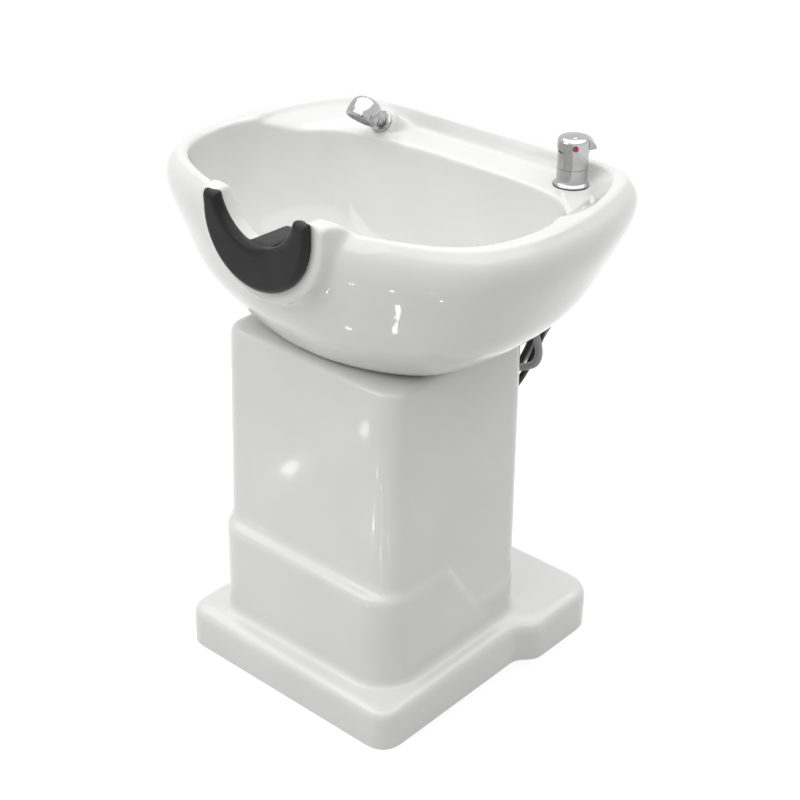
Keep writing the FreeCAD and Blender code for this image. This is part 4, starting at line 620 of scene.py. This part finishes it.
@dataclass
class NeckRest:
    """The moulded rubber rest that hooks over the neck opening.

    Attributes:
        voxel: grid of the new skin.
        passes: how often the skin is relaxed.
        relax: strength of each pass.
    """

    voxel: float = 0.0019
    passes: int = 8
    relax: float = 0.5

    def build(self) -> bpy.types.Object:
        """Reworks the rest into one soft skin.

        Returns:
            The rest as one closed piece.
        """
        piece = merged_copy("neck_rest", "moulded_neck_rest")
        modify(piece, "REMESH", mode="VOXEL", voxel_size=self.voxel)
        modify(piece, "SMOOTH", factor=self.relax, iterations=self.passes)
        pick(piece)
        bpy.ops.object.shade_smooth()
        return settle(piece, "moulded_neck_rest")

    def dress(self) -> None:
        """Builds the rest and gives it its rubber."""
        dress(self.build(), Look.RUBBER, stands_for=["neck_rest"])


@dataclass
class Hose:
    """A hose on its own line, from a fitting back into the object.

    Attributes:
        name: the hose's name.
        node: the CAD node that it stands for.
        points: control points of its line.
        radius: half its thickness.
        length: its real length; not used.
        look: its finish.
    """

    name: str
    node: str
    points: Sequence[Point]
    radius: float
    length: float
    look: Look

    def build(self) -> bpy.types.Object:
        """Draws the line and rounds it to the hose's thickness.

        Returns:
            The hose as a curve.
        """
        line = bpy.data.curves.new(self.name, "CURVE")
        line.dimensions = "3D"
        run = line.splines.new("NURBS")
        run.points.add(len(self.points) - 1)
        for place, point in zip(run.points, self.points):
            place.co = (*point, 1.0)
        run.order_u = 3
        run.use_endpoint_u = True
        run.resolution_u = 10
        line.bevel_depth = self.radius
        line.bevel_resolution = 5
        line.use_fill_caps = True
        piece = bpy.data.objects.new(self.name, line)
        bpy.context.scene.collection.objects.link(piece)
        return piece

    def dress(self) -> None:
        piece = dress(self.build(), self.look, stands_for=[self.node])


HOT_LINE = [(0.187, 0.195, 0.740), (0.187, 0.195, 0.704), (0.165, 0.203, 0.652), (0.153, 0.207, 0.600),
            (0.145, 0.207, 0.554), (0.133, 0.206, 0.516), (0.120, 0.202, 0.480), (0.103, 0.192, 0.446),
            (0.081, 0.170, 0.420), (0.059, 0.141, 0.394), (0.043, 0.112, 0.358), (0.036, 0.090, 0.322),
            (0.035, 0.084, 0.292), (0.035, 0.084, 0.266)]
COLD_LINE = [(0.201, 0.195, 0.740), (0.201, 0.195, 0.704), (0.180, 0.206, 0.652), (0.168, 0.209, 0.602),
             (0.160, 0.209, 0.558), (0.147, 0.208, 0.516), (0.133, 0.205, 0.475), (0.117, 0.196, 0.436),
             (0.094, 0.177, 0.405), (0.060, 0.151, 0.382), (0.024, 0.125, 0.366), (-0.008, 0.104, 0.345),
             (-0.028, 0.090, 0.320), (-0.035, 0.084, 0.292), (-0.035, 0.084, 0.266)]
SHOWER_LINE = [(0.194, 0.2084, 0.740), (0.194, 0.2084, 0.704), (0.180, 0.2195, 0.655), (0.168, 0.228, 0.605),
               (0.152, 0.233, 0.553), (0.126, 0.235, 0.503), (0.095, 0.234, 0.456), (0.060, 0.231, 0.413),
               (0.025, 0.227, 0.378), (-0.013, 0.222, 0.353), (-0.055, 0.216, 0.344),
               (-0.091, 0.210, 0.360), (-0.104, 0.205, 0.396), (-0.091, 0.202, 0.430),
               (-0.057, 0.199, 0.447), (-0.015, 0.197, 0.453), (0.031, 0.194, 0.456),
               (0.075, 0.190, 0.461), (0.113, 0.186, 0.471), (0.143, 0.184, 0.485), (0.163, 0.185, 0.497),
               (0.166, 0.1875, 0.518), (0.155, 0.1905, 0.542), (0.143, 0.194, 0.567),
               (0.126, 0.198, 0.595), (0.099, 0.206, 0.628), (0.062, 0.216, 0.657), (0.018, 0.220, 0.680),
               (-0.030, 0.222, 0.697), (-0.078, 0.226, 0.712), (-0.118, 0.228, 0.730),
               (-0.144, 0.228, 0.748), (-0.159, 0.227, 0.767), (-0.162, 0.22276, 0.78103),
               (-0.162, 0.20952, 0.79137)]


@dataclass
class Plumbing:
    """The three hoses that hang behind the pedestal.

    Attributes:
        supply_radius: half the thickness of a supply hose.
        shower_radius: half the thickness of the shower hose.
        hot_length: real length of the hot supply hose.
        cold_length: real length of the cold supply hose.
        shower_length: real length of the shower hose.
    """

    supply_radius: float = 0.0052
    shower_radius: float = 0.006
    hot_length: float = 0.542
    cold_length: float = 0.590
    shower_length: float = 1.356

    def dress(self) -> None:
        """Builds and dresses the hoses."""
        Hose("hot_hose", "hot_supply_hose", HOT_LINE, self.supply_radius, self.hot_length,
             Look.HOSE_BLACK).dress()
        Hose("cold_hose", "cold_supply_hose", COLD_LINE, self.supply_radius, self.cold_length,
             Look.HOSE_BLACK).dress()
        Hose("long_shower_hose", "shower_hose", SHOWER_LINE, self.shower_radius,
             self.shower_length, Look.HOSE_GREY).dress()


@dataclass
class CarriedParts:
    """The CAD nodes whose shape is right, which get only their finish."""

    def dress(self) -> None:
        """Swaps each shown node's plain colour for its finish."""
        for name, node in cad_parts.items():
            if node.hide_render:
                continue
            for holder in node.material_slots:
                slot = holder.material.name.split(".")[0]
                holder.material = BY_SLOT[slot]
            log.info("node %s keeps its shape", name)


# Studio
@dataclass(frozen=True)
class Lamp:
    """One soft rectangular lamp.

    Attributes:
        name: the lamp's name.
        place: where it hangs.
        aim: the point that it faces.
        size: its width and height.
        power: its power, in watts.
        seen: whether the camera sees the lamp itself.
    """

    name: str
    place: Point
    aim: Point
    size: tuple[float, float]
    power: float
    seen: bool = True

    def hang(self) -> None:
        """Hangs the lamp at its place and turns it to what it lights."""
        light = bpy.data.lights.new(self.name, "AREA")
        light.shape = "RECTANGLE"
        light.size, light.size_y = self.size
        light.energy = self.power
        holder = bpy.data.objects.new(self.name, light)
        holder.location = self.place
        holder.visible_camera = self.seen
        facing = Vector(self.aim) - Vector(self.place)
        holder.rotation_euler = facing.to_track_quat("-Z", "Y").to_euler()
        bpy.context.scene.collection.objects.link(holder)


@dataclass
class Studio:
    """Pale floor, soft lamps and the photograph's viewpoint.

    Attributes:
        eye: the camera's place.
        azimuth: its bearing, in degrees.
        elevation: its height over the horizon, in degrees.
        roll: its tilt, in degrees.
        lens: focal length on a 36 mm frame, in millimetres.
        ambient: strength of the light from all round.
        ceiling: strength of the light from above.
        ceiling_spread: how much of the ceiling gives it, in degrees.
        high_row: places of the small downlights along the room.
        high_rows: places of their rows across it.
        row: places of the small low lights that glint in the glaze.
        rows: places of their rows across it.
        floor_radius: how far the floor reaches.
        floor_colour: the floor's own colour.
        floor_glow: what makes it as white as the photograph's background.
        white: colour of the room.
        sensor: width of the camera's frame, in millimetres.
    """

    eye: Point = (1.495466, -1.673852, 1.663420)
    azimuth: float = 40.973
    elevation: float = 28.488
    roll: float = 1.106
    lens: float = 73.45
    ambient: float = 0.38
    ceiling: float = 2.3
    ceiling_spread: float = 100.0
    high_row: tuple[float, ...] = (-0.9, 0.3, 1.5, 2.7)
    high_rows: tuple[float, ...] = (-2.4, -1.5, -0.6)
    row: tuple[float, ...] = (-0.60, -0.82)
    rows: tuple[float, ...] = (-0.46, -0.16, 0.10, 0.40)
    floor_radius: float = 14.0
    floor_colour: Colour = (0.50, 0.50, 0.50)
    floor_glow: float = 0.58
    white: Colour = (1.0, 1.0, 1.0)
    sensor: float = 36.0

    def camera(self) -> None:
        """Sets the camera where the photograph was taken from."""
        turn, rise, tilt = (math.radians(a) for a in (self.azimuth, self.elevation, self.roll))
        back = Vector((math.sin(turn) * math.cos(rise), -math.cos(turn) * math.cos(rise),
                       math.sin(rise)))
        right = Vector((0.0, 0.0, 1.0)).cross(back).normalized()
        up = back.cross(right)
        across = math.cos(tilt) * right + math.sin(tilt) * up
        above = -math.sin(tilt) * right + math.cos(tilt) * up
        view = bpy.data.cameras.new("viewpoint")
        view.lens = self.lens
        view.sensor_width = self.sensor
        holder = bpy.data.objects.new("viewpoint", view)
        facing = Matrix((across, above, back)).transposed().to_4x4()
        holder.matrix_world = Matrix.Translation(self.eye) @ facing
        bpy.context.scene.collection.objects.link(holder)
        bpy.context.scene.camera = holder

    def lights(self) -> None:
        """Hangs the ceiling's even light, the broad lamp and the small ones."""
        sky = bpy.data.lights.new("ceiling_light", "SUN")
        sky.energy = self.ceiling
        sky.angle = math.radians(self.ceiling_spread)
        holder = bpy.data.objects.new("ceiling_light", sky)
        bpy.context.scene.collection.objects.link(holder)
        Lamp("broad_lamp", (-0.9, -2.2, 2.0), (0.0, 0.0, 0.5), (1.6, 1.4), 13.0).hang()
        for along in self.row:
            for across in self.rows:
                Lamp("glint", (across, along, 0.03), (across, 0.0, 0.8), (0.03, 0.03), 0.03,
                     seen=False).hang()
        for along in self.high_row:
            for across in self.high_rows:
                Lamp("downlight", (across, along, 2.6), (across, along, 0.0), (0.10, 0.10),
                     0.45).hang()

    def backdrop(self) -> None:
        """Lays the floor and lights the room around it."""
        deselect()
        bpy.ops.mesh.primitive_circle_add(vertices=96, radius=self.floor_radius, fill_type="NGON",
                                          location=(0.0, 0.0, 0.0))
        floor = bpy.context.object
        floor.name = "floor"
        material = bpy.data.materials.new("pale_floor")
        material.use_nodes = True
        tree = material.node_tree
        tree.nodes.clear()
        diffuse = tree.nodes.new("ShaderNodeBsdfDiffuse")
        diffuse.inputs["Color"].default_value = (*self.floor_colour, 1.0)
        glow = tree.nodes.new("ShaderNodeEmission")
        together = tree.nodes.new("ShaderNodeAddShader")
        output = tree.nodes.new("ShaderNodeOutputMaterial")
        seen = self.seen_rays(tree)
        level = tree.nodes.new("ShaderNodeMath")
        level.operation = "MULTIPLY"
        level.inputs[1].default_value = self.floor_glow
        tree.links.new(seen, level.inputs[0])
        tree.links.new(level.outputs[0], glow.inputs["Strength"])
        tree.links.new(diffuse.outputs[0], together.inputs[0])
        tree.links.new(glow.outputs[0], together.inputs[1])
        tree.links.new(together.outputs[0], output.inputs["Surface"])
        floor.data.materials.append(material)

        world = bpy.data.worlds.new("plain_room")
        bpy.context.scene.world = world
        world.use_nodes = True
        tree = world.node_tree
        room = tree.nodes["Background"]
        room.inputs["Color"].default_value = (*self.white, 1.0)
        seen = self.seen_rays(tree)
        level = tree.nodes.new("ShaderNodeMapRange")
        level.inputs["To Min"].default_value = self.ambient
        level.inputs["To Max"].default_value = 1.0
        tree.links.new(seen, level.inputs["Value"])
        tree.links.new(level.outputs["Result"], room.inputs["Strength"])

    @staticmethod
    def seen_rays(tree: bpy.types.NodeTree) -> bpy.types.NodeSocket:
        """Finds the rays that show the background.

        Args:
            tree: the node tree of a floor or a world.

        Returns:
            A socket that is 1 for camera, glossy and transmission rays.
        """
        path = tree.nodes.new("ShaderNodeLightPath")
        either = tree.nodes.new("ShaderNodeMath")
        either.operation = "MAXIMUM"
        any_of = tree.nodes.new("ShaderNodeMath")
        any_of.operation = "MAXIMUM"
        tree.links.new(path.outputs["Is Camera Ray"], either.inputs[0])
        tree.links.new(path.outputs["Is Glossy Ray"], either.inputs[1])
        tree.links.new(either.outputs[0], any_of.inputs[0])
        tree.links.new(path.outputs["Is Transmission Ray"], any_of.inputs[1])
        return any_of.outputs[0]

    def dress(self) -> None:
        """Sets up the camera, the lamps and the backdrop."""
        bpy.context.scene.view_settings.view_transform = "Standard"
        self.camera()
        self.lights()
        self.backdrop()


def main() -> None:
    """Builds every piece, then the studio."""
    logging.basicConfig(level=logging.INFO, format="%(message)s")
    Studio().dress()
    Plumbing().dress()
    Bowl().dress()
    Pedestal().dress()
    NeckRest().dress()
    CarriedParts().dress()


if __name__ == "__main__":
    main()
